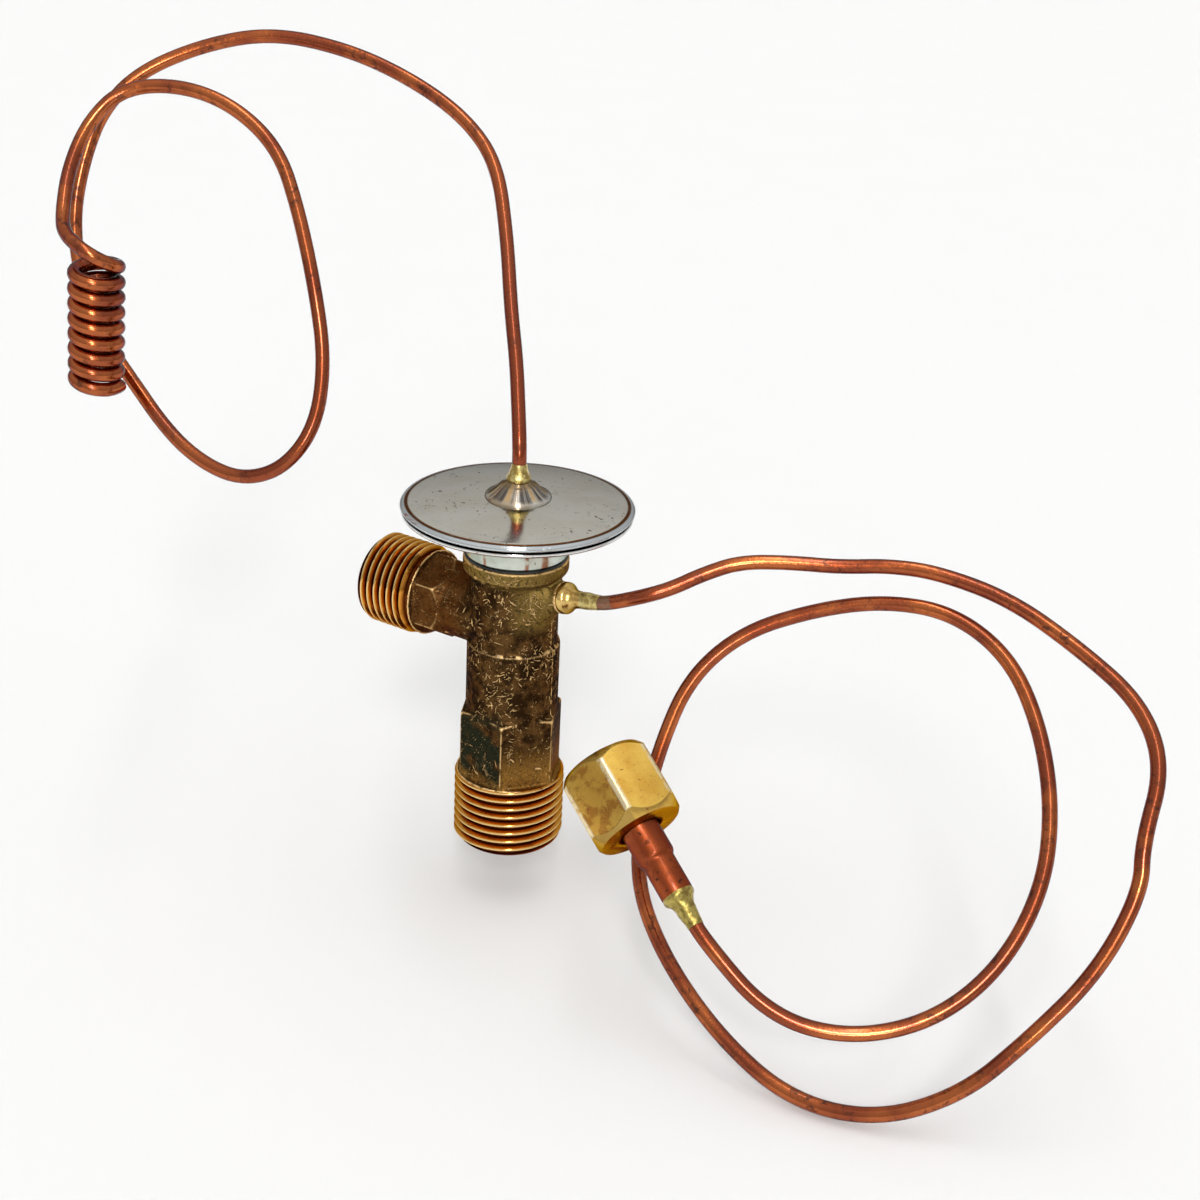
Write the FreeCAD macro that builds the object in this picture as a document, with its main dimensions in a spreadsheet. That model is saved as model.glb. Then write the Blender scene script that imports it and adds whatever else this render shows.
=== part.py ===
import FreeCAD, Part
import math
import os
import re
import Sketcher

# Angle-type refrigerant expansion valve with a coiled sensing tube and an equalizer tube.
# Millimetres. +Z is the valve's axis, with the head up. The inlet faces -X, the equalizer boss +X,
# and the origin is the middle of the outlet thread.

# Driving dimensions
dimensions = {
    # Valve body, outside
    "outlet_thread_radius": 9.525,
    "outlet_thread_half": 6.5,
    "thread_chamfer": 0.9,
    "hexagon_across_flats": 15.9,
    "hexagon_height": 12.5,
    "hexagon_turn": -5.0,
    "barrel_radius": 7.9,
    "barrel_height": 12.0,
    "upper_barrel_radius": 7.4,
    "collar_radius": 8.85,
    "collar_height": 2.6,
    "head_rise": 11.8,
    "corner_slope": 0.5,
    # Inlet port
    "inlet_height": 34.8,
    "inlet_reach": 28.3,
    "inlet_thread_radius": 7.9375,
    "inlet_thread_length": 11.0,
    "inlet_hexagon_across_flats": 12.7,
    "inlet_hexagon_length": 6.3,
    "inlet_corner_slope": 2.1,
    "inlet_neck_radius": 6.1,
    # Passages and chambers in the body
    "outlet_pilot_radius": 7.0,
    "outlet_pilot_depth": 9.0,
    "adjuster_bore_radius": 5.6,
    "adjuster_bore_depth": 9.5,
    "spring_chamber_radius": 5.2,
    "seat_height": 21.0,
    "seat_radius": 1.9,
    "seat_length": 3.5,
    "inlet_chamber_radius": 3.6,
    "guide_rise": 1.8,
    "guide_length": 1.6,
    "seal_pocket_radius": 2.6,
    "seal_pocket_depth": 1.6,
    "head_thread_radius": 6.05,
    "inlet_pilot_radius": 5.3,
    "inlet_pilot_depth": 8.0,
    "strainer_seat_radius": 4.8,
    "strainer_bore_radius": 4.1,
    "strainer_bore_length": 8.3,
    "inlet_passage_radius": 2.8,
    "fit_clearance": 0.05,
    # Equalizer boss and its brazed nipple
    "boss_rise": 5.1,
    "boss_tilt": 9.0,
    "boss_reach": 9.9,
    "boss_ring_radius": 2.7,
    "boss_ring_length": 1.0,
    "boss_foot_radius": 4.6,
    "equalizer_passage_radius": 0.9,
    "bell_radius": 2.7,
    "bell_length": 3.9,
    "bell_rim": 0.7,
    "equalizer_braze_length": 3.3,
    # Power head
    "gasket_height": 0.35,
    "gasket_overhang": 0.15,
    "neck_radius": 8.5,
    "neck_height": 4.25,
    "spigot_length": 4.4,
    "adapter_bore_radius": 2.6,
    "case_radius": 19.3,
    "lower_case_inset": 0.2,
    "lower_rim_sheet": 0.6,
    "lower_case_sheet": 0.9,
    "lower_case_rise": 2.1,
    "diaphragm_sheet": 0.12,
    "diaphragm_wave": 0.28,
    "diaphragm_inset": 1.0,
    "upper_case_sheet": 0.8,
    "upper_rim_height": 1.1,
    "dome_rise": 1.1,
    "pad_inset": 9.8,
    "pad_disc_height": 1.2,
    "pad_stem_radius": 2.2,
    "nipple_radius": 5.5,
    "nipple_height": 3.1,
    "nipple_tip_radius": 1.5,
    "nipple_braze_length": 2.6,
    # Valve train
    "rod_radius": 1.2,
    "pad_stem_reach": 4.0,
    "ball_radius": 2.5,
    "seat_gap": 0.02,
    "carrier_flange_radius": 4.4,
    "carrier_cup_radius": 3.2,
    "cup_overlap": 1.1,
    "carrier_cup_height": 1.8,
    "carrier_flange_height": 1.4,
    "carrier_spigot_radius": 2.5,
    "carrier_spigot_length": 1.8,
    "spring_wire_radius": 0.45,
    "spring_radius": 3.5,
    "spring_turns": 4.5,
    "adjuster_height": 5.0,
    "adjuster_socket": 5.0,
    "adjuster_slot_radius": 0.8,
    "seal_section": 0.7,
    # Inlet strainer
    "strainer_flange_height": 0.8,
    "strainer_skirt_length": 2.0,
    "strainer_skirt_sheet": 0.6,
    "screen_sheet": 0.25,
    "screen_length": 6.0,
    "screen_hole_radius": 0.4,
    "screen_hole_count": 10,
    "screen_row_step": 1.5,
    # Copper tubes, coil and flare fitting
    "tube_radius": 1.2,
    "sensing_tube_reach": 94.0,
    "sensing_tube_height": 63.1,
    "equalizer_tube_reach": 108.5,
    "equalizer_tube_drop": 55.9,
    "coil_radius": 3.83,
    "coil_pitch": 2.65,
    "coil_turns": 8.0,
    "stub_radius": 3.05,
    "stub_wall": 0.8,
    "stub_step": 11.4,
    "stub_small_radius": 2.6,
    "stub_end": 17.8,
    "stub_braze_length": 5.6,
    "flare_radius": 4.6,
    "flare_gap": 0.45,
    "nut_across_flats": 14.29,
    "nut_length": 12.5,
    "nut_thread_radius": 4.96,
    "nut_thread_length": 6.45,
    "nut_relief_radius": 5.25,
    "nut_relief_length": 0.85,
    "nut_hole_clearance": 0.35,
    "nut_chamfer": 2.1,
    "nut_face_radius": 6.7,
    "nut_corner_angle": 34.0,
    "nut_x": 34.2,
    "nut_y": -18.2,
    "nut_drop": 19.0,
    "nut_yaw": -20.0,
    "nut_pitch": 122.4,
}

# Derived sizes, each a formula of the driving ones
formulas = {
    "hexagon_top": "outlet_thread_half + hexagon_height",
    "barrel_top": "hexagon_top + barrel_height",
    "body_top": "inlet_height + head_rise",
    "guide_bottom": "inlet_height + guide_rise",
    "boss_height": "inlet_height + boss_rise",
    "collar_bottom": "body_top - collar_height",
    "hexagon_corner": "hexagon_across_flats / 2 / cos(30)",
    "inlet_hexagon_corner": "inlet_hexagon_across_flats / 2 / cos(30)",
    "inlet_shoulder": "inlet_reach - inlet_thread_length",
    "inlet_hexagon_end": "inlet_shoulder - inlet_hexagon_length",
    "pilot_floor": "outlet_pilot_depth - outlet_thread_half",
    "adjuster_bore_top": "pilot_floor + adjuster_bore_depth",
    "inlet_chamber_bottom": "seat_height + seat_length",
    "guide_top": "guide_bottom + guide_length",
    "recess_floor": "guide_top + seal_pocket_depth",
    "inlet_pilot_floor": "inlet_reach - inlet_pilot_depth",
    "strainer_seat_floor": "inlet_pilot_floor - strainer_flange_height",
    "strainer_bore_floor": "strainer_seat_floor - strainer_bore_length",
    "boss_axis_length": "boss_reach / cos(boss_tilt)",
    "bell_end": "boss_axis_length + bell_length",
    "equalizer_braze_end": "bell_end + equalizer_braze_length",
    "adapter_bottom": "body_top + gasket_height",
    "neck_top": "adapter_bottom + neck_height",
    "gasket_radius": "neck_radius + gasket_overhang",
    "spigot_bottom": "adapter_bottom - spigot_length",
    "lower_floor": "neck_top + lower_case_sheet",
    "flange_top": "lower_floor + lower_case_rise + 0.35",
    "diaphragm_top": "flange_top + diaphragm_sheet",
    "rim_top": "diaphragm_top + upper_rim_height",
    "dome_top": "rim_top + dome_rise",
    "lower_case_radius": "case_radius - lower_case_inset",
    "diaphragm_radius": "case_radius - diaphragm_inset",
    "pad_radius": "case_radius - pad_inset",
    "rod_top": "body_top - pad_stem_reach",
    "pad_top": "flange_top - diaphragm_wave - 0.05",
    "pad_bottom": "pad_top - pad_disc_height",
    "nipple_top": "dome_top + nipple_height",
    "nipple_braze_top": "nipple_top + nipple_braze_length",
    "ball_height": "seat_height - sqrt(ball_radius ^ 2 - seat_radius ^ 2) - seat_gap",
    "cup_rise": "ball_radius * sqrt(2)",
    "carrier_top": "ball_height - cup_overlap",
    "carrier_flange_top": "carrier_top - carrier_cup_height",
    "carrier_bottom": "carrier_flange_top - carrier_flange_height",
    "adjuster_bottom": "pilot_floor + 0.5",
    "adjuster_top": "adjuster_bottom + adjuster_height",
    "spring_length": "carrier_bottom - adjuster_top",
    "nut_z": "boss_height - nut_drop",
    "nut_corner": "nut_across_flats / 2 / cos(30)",
    "nut_end": "nut_length / 2",
    "nut_hole_radius": "stub_radius + nut_hole_clearance",
    "nut_thread_end": "nut_thread_length - nut_end",
    "nut_seat_start": "nut_thread_end + nut_relief_length",
    "nut_seat_end": "nut_seat_start + nut_relief_radius - nut_hole_radius",
    "flare_start": "nut_seat_end - flare_gap - (flare_radius - stub_radius)",
    "stub_braze_end": "stub_end + stub_braze_length",
}

# Routes of the copper tubes: corner points of the centre lines, in order along each tube. The sensing tube
# and its coil are measured from the middle of the dome's top, the equalizer tube from the boss's height.
sensing_route = [
    (-3.0, 3.5, 13.6), (-6.5, 7.5, 19.6), (-11.5, 12.5, 26.6), (-18.5, 20.5, 36.1), (-26.0, 27.5, 46.1),
    (-35.0, 30.5, 52.1), (-46.5, 30.5, 57.1), (-59.0, 28.0, 61.1), (-72.0, 22.5, 63.1),
    (-82.0, 15.5, 60.6), (-90.5, 7.5, 55.6), (-94.0, 1.5, 49.1), (-93.5, -4.0, 41.1),
    (-92.0, -8.5, 32.1), (-87.5, -12.0, 23.1), (-81.5, -14.0, 14.6), (-73.5, -15.0, 8.6),
    (-61.5, -17.5, 1.1), (-52.5, -18.0, -2.4), (-44.5, -17.0, -3.4), (-38.0, -14.0, -0.4),
    (-35.0, -9.5, 6.6), (-36.5, -5.5, 16.6), (-41.0, -2.5, 27.1), (-48.0, 1.5, 38.6),
    (-55.0, 4.5, 47.6), (-64.5, 4.0, 53.6), (-74.0, 1.0, 56.1), (-82.5, -4.0, 55.1),
    (-85.5, -9.5, 49.6), (-85.0, -15.0, 42.6), (-80.5, -21.0, 36.6), (-76.5, -24.5, 34.6),
    (-71.5, -26.0, 33.3), (-68.5, -25.0, 31.7), (-67.6, -22.2, 30.1),
]
coil_middle = (-72.6, -22.3, 17.4)
coil_axis = FreeCAD.Vector(0.093, -0.005, 0.996)
coil_right = FreeCAD.Vector(0.635, 0.686, -0.056)
coil_start_height = 12.1
coil_steps_per_turn = 8
equalizer_route = [
    (24.0, 1.5, 5.3), (27.5, 4.5, 6.7), (31.0, 8.0, 9.0), (35.5, 12.0, 11.1), (42.5, 16.0, 11.6),
    (49.5, 19.5, 11.6), (56.5, 23.0, 12.6), (64.0, 25.5, 12.6), (75.5, 27.5, 10.6), (88.0, 26.5, 6.1),
    (99.0, 24.0, 1.6), (105.5, 19.0, -4.9), (106.5, 11.0, -13.9), (108.5, 7.5, -19.9),
    (106.5, -0.5, -30.4), (100.5, -8.5, -40.4), (94.0, -15.0, -49.4), (83.5, -21.0, -55.4),
    (70.5, -24.0, -55.9), (57.0, -22.5, -51.4), (44.5, -19.0, -44.4), (35.5, -14.0, -36.9),
    (32.0, -8.0, -27.9), (31.5, -2.5, -17.4), (32.5, 3.5, -7.4), (38.0, 10.0, 0.1),
    (47.5, 16.5, 4.6), (57.0, 21.5, 7.1), (67.5, 24.5, 7.1), (78.0, 24.0, 2.6),
    (86.0, 19.5, -5.4), (92.0, 12.5, -14.4), (95.0, 4.5, -23.4), (93.5, -5.0, -32.9),
    (87.5, -14.0, -39.9), (77.5, -21.5, -42.9), (66.5, -26.0, -40.9),
]
bend_share = 0.45
straight_enough = 0.001

document = FreeCAD.newDocument("expansion_valve")
sheet = document.addObject("Spreadsheet::Sheet", "Sizes")
aliases = list(dimensions) + list(formulas)
word = re.compile(r"[a-z][a-z_]+")


def bound(text):
    """The text with each size's name led by the sheet's own."""
    return word.sub(lambda match: "Sizes." + match.group() if match.group() in aliases else match.group(), text)


for row, (alias, size) in enumerate(dimensions.items(), 1):
    sheet.set("A%d" % row, alias)
    sheet.set("B%d" % row, str(size))
    sheet.setAlias("B%d" % row, alias)
for row, (alias, formula) in enumerate(formulas.items(), len(dimensions) + 1):
    sheet.set("A%d" % row, alias)
    sheet.set("B%d" % row, "=" + formula)
    sheet.setAlias("B%d" % row, alias)
document.recompute()


def size(text):
    """The present value of a size or of a formula of sizes."""
    return float(sheet.evalExpression(bound(text)))


# Sketches and features bound to the sheet

def new_body(label):
    body = document.addObject("PartDesign::Body", label)
    body.Label = label
    return body


def add_sketch(body, name, plane, height="0", turn="0"):
    """A sketch on one of the body's origin planes, lifted along the plane's normal and turned in it."""
    sketch = body.newObject("Sketcher::SketchObject", body.Name + "_" + name)
    support = [item for item in body.Origin.OriginFeatures if item.Role == plane][0]
    sketch.AttachmentSupport = [(support, "")]
    sketch.MapMode = "FlatFace"
    sketch.setExpression("AttachmentOffset",
                         "placement(vector(0; 0; %s); rotation(%s; 0; 0))" % (bound(height), bound(turn)))
    return sketch


def pin(sketch, geometry, end, across, along):
    """Ties one end of a line or arc to two coordinates given as formulas."""
    for kind, axis, formula in (("DistanceX", -2, across), ("DistanceY", -1, along)):
        if formula == "0":
            sketch.addConstraint(Sketcher.Constraint("PointOnObject", geometry, end, axis))
            continue
        index = sketch.addConstraint(Sketcher.Constraint(kind, -1, 1, geometry, end, size(formula)))
        sketch.setExpression("Constraints[%d]" % index, bound(formula))


def draw(sketch, corners):
    """A closed outline through corners; a corner with a third value is reached by an arc of that radius,
    which turns left for a positive radius and right for a negative one."""
    places = [FreeCAD.Vector(size(corner[0]), size(corner[1]), 0) for corner in corners]
    ends = []
    for number, corner in enumerate(corners):
        start, finish = places[number - 1], places[number]
        if len(corner) == 3:
            radius = size(corner[2])
            chord = finish - start
            side = FreeCAD.Vector(chord.y, -chord.x, 0).normalize()
            half = chord.Length / 2
            rise = abs(radius) - math.sqrt(max(radius ** 2 - half ** 2, 0))
            crown = (start + finish) / 2 + side * math.copysign(rise, radius)
            left_turn = radius > 0
            arc = Part.Arc(start, crown, finish) if left_turn else Part.Arc(finish, crown, start)
            geometry = sketch.addGeometry(arc, False)
            first = 1 if left_turn else 2
            index = sketch.addConstraint(Sketcher.Constraint("Radius", geometry, abs(radius)))
            sketch.setExpression("Constraints[%d]" % index, bound(corner[2].lstrip("-")))
        else:
            geometry = sketch.addGeometry(Part.LineSegment(start, finish), False)
            first = 1
        ends.append((geometry, first, 3 - first))
    for number, corner in enumerate(corners):
        geometry, _, last = ends[number]
        following, first, _ = ends[(number + 1) % len(corners)]
        sketch.addConstraint(Sketcher.Constraint("Coincident", geometry, last, following, first))
        pin(sketch, geometry, last, corner[0], corner[1])


def revolve(body, name, corners, plane="XZ_Plane", turn="0", axis="V_Axis", cut=False, height="0"):
    """A full turn of an outline about the sketch's upright or level axis, added or cut."""
    sketch = add_sketch(body, name, plane, height, turn)
    draw(sketch, corners)
    kind = "PartDesign::Groove" if cut else "PartDesign::Revolution"
    feature = body.newObject(kind, body.Name + "_" + name + "_turned")
    feature.Profile = sketch
    feature.ReferenceAxis = (sketch, [axis])
    feature.Angle = 360
    return feature


def draw_hexagon(sketch, across_corners, angle):
    """A hexagon about the sketch's origin, with its first corner at the given angle."""
    corners = []
    for step in range(6):
        direction = "(%s + %d)" % (angle, 60 * step)
        corners.append(("%s * cos(%s)" % (across_corners, direction), "%s * sin(%s)" % (across_corners, direction)))
    draw(sketch, corners)


def pad_hexagon(body, name, plane, across_corners, angle, start, length, reverse=False):
    sketch = add_sketch(body, name, plane, start)
    draw_hexagon(sketch, across_corners, angle)
    pad = body.newObject("PartDesign::Pad", body.Name + "_" + name + "_pad")
    pad.Profile = sketch
    pad.setExpression("Length", bound(length))
    pad.Reversed = reverse
    return pad


# Valve body: one forging, turned and drilled

body = new_body("valve_body")
revolve(body, "barrel", [
    ("0", "-outlet_thread_half"),
    ("outlet_thread_radius - thread_chamfer", "-outlet_thread_half"),
    ("outlet_thread_radius", "-outlet_thread_half + thread_chamfer"),
    ("outlet_thread_radius", "outlet_thread_half - 0.5"),
    ("outlet_thread_radius - 0.5", "outlet_thread_half"),
    ("barrel_radius", "outlet_thread_half"),
    ("barrel_radius", "barrel_top"),
    ("upper_barrel_radius", "barrel_top + 0.5"),
    ("upper_barrel_radius", "collar_bottom - 1.4"),
    ("upper_barrel_radius + 0.5", "collar_bottom - 0.4", "-1.4"),
    ("collar_radius", "collar_bottom + 0.5"),
    ("collar_radius", "body_top - 0.2"),
    ("collar_radius - 0.2", "body_top"),
    ("0", "body_top"),
])
pad_hexagon(body, "hexagon", "XY_Plane", "hexagon_corner", "hexagon_turn", "outlet_thread_half", "hexagon_height")
revolve(body, "hexagon_slope", [
    ("barrel_radius", "hexagon_top + 0.1"),
    ("hexagon_corner + 0.2", "hexagon_top + 0.1"),
    ("hexagon_corner + 0.2", "hexagon_top - corner_slope"),
], cut=True)
revolve(body, "inlet_neck", [
    ("0", "0"),
    ("-inlet_reach", "0"),
    ("-inlet_reach", "inlet_thread_radius - thread_chamfer"),
    ("-inlet_reach + thread_chamfer", "inlet_thread_radius"),
    ("-inlet_shoulder - 0.5", "inlet_thread_radius"),
    ("-inlet_shoulder", "inlet_thread_radius - 0.5"),
    ("-inlet_shoulder", "inlet_neck_radius"),
    ("0", "inlet_neck_radius"),
], axis="H_Axis")
document.getObject("valve_body_inlet_neck").setExpression(
    "AttachmentOffset", "placement(vector(0; Sizes.inlet_height; 0); rotation(0; 0; 0))")
pad_hexagon(body, "inlet_hexagon", "YZ_Plane", "inlet_hexagon_corner", "90",
            "-inlet_shoulder", "inlet_hexagon_length")
document.getObject("valve_body_inlet_hexagon").setExpression(
    "AttachmentOffset", "placement(vector(0; Sizes.inlet_height; -Sizes.inlet_shoulder); rotation(0; 0; 0))")
revolve(body, "inlet_slope", [
    ("-inlet_hexagon_end + 0.1", "inlet_neck_radius"),
    ("-inlet_hexagon_end + 0.1", "inlet_hexagon_corner + 0.2"),
    ("-inlet_hexagon_end - inlet_corner_slope", "inlet_hexagon_corner + 0.2"),
], axis="H_Axis", cut=True)
document.getObject("valve_body_inlet_slope").setExpression(
    "AttachmentOffset", "placement(vector(0; Sizes.inlet_height; 0); rotation(0; 0; 0))")
revolve(body, "equalizer_boss", [
    ("upper_barrel_radius - 3", "0"),
    ("upper_barrel_radius - 3", "boss_foot_radius"),
    ("upper_barrel_radius - 0.6", "boss_foot_radius"),
    ("boss_axis_length - boss_ring_length", "boss_ring_radius", "2.6"),
    ("boss_axis_length", "boss_ring_radius"),
    ("boss_axis_length", "0"),
], axis="H_Axis")
tilted = "placement(vector(0; Sizes.boss_height; 0); rotation(Sizes.boss_tilt; 0; 0))"
document.getObject("valve_body_equalizer_boss").setExpression("AttachmentOffset", tilted)
revolve(body, "axial_bores", [
    ("0", "-outlet_thread_half - 1"),
    ("outlet_pilot_radius", "-outlet_thread_half - 1"),
    ("outlet_pilot_radius", "pilot_floor"),
    ("adjuster_bore_radius", "pilot_floor"),
    ("adjuster_bore_radius", "adjuster_bore_top"),
    ("spring_chamber_radius", "adjuster_bore_top"),
    ("spring_chamber_radius", "seat_height"),
    ("seat_radius", "seat_height"),
    ("seat_radius", "inlet_chamber_bottom"),
    ("inlet_chamber_radius", "inlet_chamber_bottom"),
    ("inlet_chamber_radius", "guide_bottom"),
    ("rod_radius + fit_clearance", "guide_bottom"),
    ("rod_radius + fit_clearance", "guide_top"),
    ("seal_pocket_radius", "guide_top"),
    ("seal_pocket_radius", "recess_floor"),
    ("head_thread_radius", "recess_floor"),
    ("head_thread_radius", "body_top + 1"),
    ("0", "body_top + 1"),
], cut=True)
revolve(body, "inlet_bores", [
    ("-inlet_reach - 1", "0"),
    ("-inlet_reach - 1", "inlet_pilot_radius"),
    ("-inlet_pilot_floor", "inlet_pilot_radius"),
    ("-inlet_pilot_floor", "strainer_seat_radius"),
    ("-strainer_seat_floor", "strainer_seat_radius"),
    ("-strainer_seat_floor", "strainer_bore_radius"),
    ("-strainer_bore_floor", "strainer_bore_radius"),
    ("-strainer_bore_floor", "inlet_passage_radius"),
    ("-2", "inlet_passage_radius"),
    ("-2", "0"),
], axis="H_Axis", cut=True)
document.getObject("valve_body_inlet_bores").setExpression(
    "AttachmentOffset", "placement(vector(0; Sizes.inlet_height; 0); rotation(0; 0; 0))")
revolve(body, "equalizer_passage", [
    ("head_thread_radius - 0.5", "0"),
    ("head_thread_radius - 0.5", "equalizer_passage_radius"),
    ("boss_axis_length + 1", "equalizer_passage_radius"),
    ("boss_axis_length + 1", "0"),
], axis="H_Axis", cut=True)
document.getObject("valve_body_equalizer_passage").setExpression("AttachmentOffset", tilted)

# Head adapter: the plated neck, screwed into the body's top

adapter = new_body("head_adapter")
revolve(adapter, "section", [
    ("adapter_bore_radius", "spigot_bottom"),
    ("head_thread_radius - fit_clearance", "spigot_bottom"),
    ("head_thread_radius - fit_clearance", "adapter_bottom"),
    ("neck_radius", "adapter_bottom"),
    ("neck_radius", "neck_top"),
    ("adapter_bore_radius", "neck_top"),
])

gasket = new_body("head_gasket")
revolve(gasket, "section", [
    ("head_thread_radius + 0.4", "body_top"),
    ("gasket_radius - 0.05", "body_top"),
    ("gasket_radius - 0.05", "adapter_bottom", "0.36"),
    ("head_thread_radius + 0.4", "adapter_bottom"),
])

# Power head: two pressed cases with the diaphragm welded between their rims

lower_case = new_body("lower_case")
revolve(lower_case, "section", [
    ("adapter_bore_radius + 0.9", "neck_top"),
    ("neck_radius + 1.7", "neck_top"),
    ("case_radius - 3.2", "neck_top + lower_case_rise"),
    ("lower_case_radius - 0.12", "flange_top - lower_rim_sheet"),
    ("lower_case_radius - 0.12", "flange_top", "0.42"),
    ("case_radius - 2.9", "flange_top"),
    ("neck_radius + 1.9", "lower_floor"),
    ("adapter_bore_radius + 0.9", "lower_floor"),
])

diaphragm = new_body("diaphragm")
waves = ["pad_radius + 1", "pad_radius + 2.6", "pad_radius + 4.2", "pad_radius + 5.8"]
upper_line = [(place, "diaphragm_top %s diaphragm_wave" % ("+-"[number % 2])) for number, place in enumerate(waves)]
lower_line = [(place, "flange_top %s diaphragm_wave" % ("+-"[number % 2])) for number, place in enumerate(waves)]
revolve(diaphragm, "section",
        [("0", "flange_top - diaphragm_wave"), ("pad_radius - 0.6", "flange_top - diaphragm_wave")]
        + lower_line
        + [("case_radius - 2.9", "flange_top"), ("diaphragm_radius", "flange_top"),
           ("diaphragm_radius", "diaphragm_top"), ("case_radius - 2.9", "diaphragm_top")]
        + upper_line[::-1]
        + [("pad_radius - 0.6", "diaphragm_top - diaphragm_wave"), ("0", "diaphragm_top - diaphragm_wave")])

upper_case = new_body("upper_case")
revolve(upper_case, "section", [
    ("tube_radius + fit_clearance", "dome_top - upper_case_sheet"),
    ("nipple_radius", "dome_top - upper_case_sheet"),
    ("case_radius - 2.9", "diaphragm_top + 0.5"),
    ("case_radius - 2.6", "diaphragm_top"),
    ("case_radius - 0.17", "diaphragm_top"),
    ("case_radius - 0.4", "rim_top - 0.1", "0.62"),
    ("case_radius - 0.9", "rim_top - 0.22"),
    ("case_radius - 1.15", "rim_top"),
    ("nipple_radius + 0.1", "dome_top", "90"),
    ("tube_radius + fit_clearance", "dome_top"),
])

nipple = new_body("capillary_nipple")
revolve(nipple, "section", [
    ("tube_radius + fit_clearance", "dome_top"),
    ("nipple_radius", "dome_top"),
    ("nipple_radius - 0.35", "dome_top + 0.45", "0.6"),
    ("nipple_tip_radius + 1.6", "nipple_top - 1.0", "6"),
    ("nipple_tip_radius", "nipple_top", "-2.2"),
    ("tube_radius + fit_clearance", "nipple_top"),
])

nipple_braze = new_body("nipple_braze")
revolve(nipple_braze, "section", [
    ("tube_radius", "nipple_top"),
    ("nipple_tip_radius + 0.2", "nipple_top"),
    ("nipple_tip_radius + 0.1", "nipple_top + 0.7"),
    ("tube_radius + 0.12", "nipple_braze_top", "-6"),
    ("tube_radius", "nipple_braze_top"),
])

# Valve train inside: pad, rod, seal, ball, carrier, spring and adjusting nut

pad = new_body("diaphragm_pad")
revolve(pad, "section", [
    ("0", "rod_top"),
    ("pad_stem_radius", "rod_top"),
    ("pad_stem_radius", "pad_bottom"),
    ("pad_radius - 0.4", "pad_bottom"),
    ("pad_radius", "pad_bottom + 0.4"),
    ("pad_radius", "pad_top"),
    ("0", "pad_top"),
])

rod = document.addObject("Part::Cylinder", "push_rod")
rod.setExpression("Radius", bound("rod_radius"))
rod.setExpression("Height", bound("rod_top - ball_height - ball_radius"))
rod.setExpression("Placement.Base.z", bound("ball_height + ball_radius"))

rod_seal = document.addObject("Part::Torus", "rod_seal")
rod_seal.setExpression("Radius1", bound("rod_radius + fit_clearance + seal_section / 2"))
rod_seal.setExpression("Radius2", bound("seal_section / 2"))
rod_seal.setExpression("Placement.Base.z", bound("guide_top + seal_section / 2"))

retainer = new_body("seal_retainer")
revolve(retainer, "section", [
    ("rod_radius + 0.3", "recess_floor - 0.5"),
    ("seal_pocket_radius - fit_clearance", "recess_floor - 0.5"),
    ("seal_pocket_radius - fit_clearance", "recess_floor"),
    ("rod_radius + 0.3", "recess_floor"),
])

ball = document.addObject("Part::Sphere", "valve_ball")
ball.setExpression("Radius", bound("ball_radius"))
ball.setExpression("Placement.Base.z", bound("ball_height"))

carrier = new_body("ball_carrier")
revolve(carrier, "section", [
    ("0", "carrier_bottom - carrier_spigot_length"),
    ("carrier_spigot_radius - 0.3", "carrier_bottom - carrier_spigot_length"),
    ("carrier_spigot_radius", "carrier_bottom - carrier_spigot_length + 0.3"),
    ("carrier_spigot_radius", "carrier_bottom"),
    ("carrier_flange_radius", "carrier_bottom"),
    ("carrier_flange_radius", "carrier_flange_top"),
    ("carrier_cup_radius", "carrier_flange_top"),
    ("carrier_cup_radius", "carrier_top"),
    ("cup_rise - cup_overlap", "carrier_top"),
    ("0", "ball_height - cup_rise"),
])

spring = document.addObject("Part::Helix", "spring_line")
spring.setExpression("Radius", bound("spring_radius"))
spring.setExpression("Height", bound("spring_length - 2 * spring_wire_radius - 0.1"))
spring.setExpression("Pitch", bound("(spring_length - 2 * spring_wire_radius - 0.1) / spring_turns"))
spring_profile = document.addObject("Part::Circle", "spring_wire")
spring_profile.setExpression("Radius", bound("spring_wire_radius"))
spring_profile.Placement.Rotation = FreeCAD.Rotation(FreeCAD.Vector(1, 0, 0), 90)
spring_profile.setExpression("Placement.Base.x", bound("spring_radius"))
superheat_spring = document.addObject("Part::Sweep", "superheat_spring")
superheat_spring.Sections = [spring_profile]
superheat_spring.Spine = (spring, ["Edge1"])
superheat_spring.Solid = True
superheat_spring.Frenet = True
superheat_spring.setExpression("Placement.Base.z", bound("adjuster_top + spring_wire_radius + 0.05"))

adjuster = new_body("adjusting_nut")
revolve(adjuster, "blank", [
    ("0", "adjuster_bottom"),
    ("adjuster_bore_radius - fit_clearance - 0.4", "adjuster_bottom"),
    ("adjuster_bore_radius - fit_clearance", "adjuster_bottom + 0.4"),
    ("adjuster_bore_radius - fit_clearance", "adjuster_top - 0.4"),
    ("adjuster_bore_radius - fit_clearance - 0.4", "adjuster_top"),
    ("0", "adjuster_top"),
])
socket_sketch = add_sketch(adjuster, "socket", "XY_Plane", "adjuster_bottom")
draw_hexagon(socket_sketch, "adjuster_socket / 2 / cos(30)", "0")
socket = adjuster.newObject("PartDesign::Pocket", "adjusting_nut_socket_cut")
socket.Profile = socket_sketch
socket.Type = "ThroughAll"
socket.Reversed = True
slot_sketch = add_sketch(adjuster, "slot", "XY_Plane", "adjuster_bottom")
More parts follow.
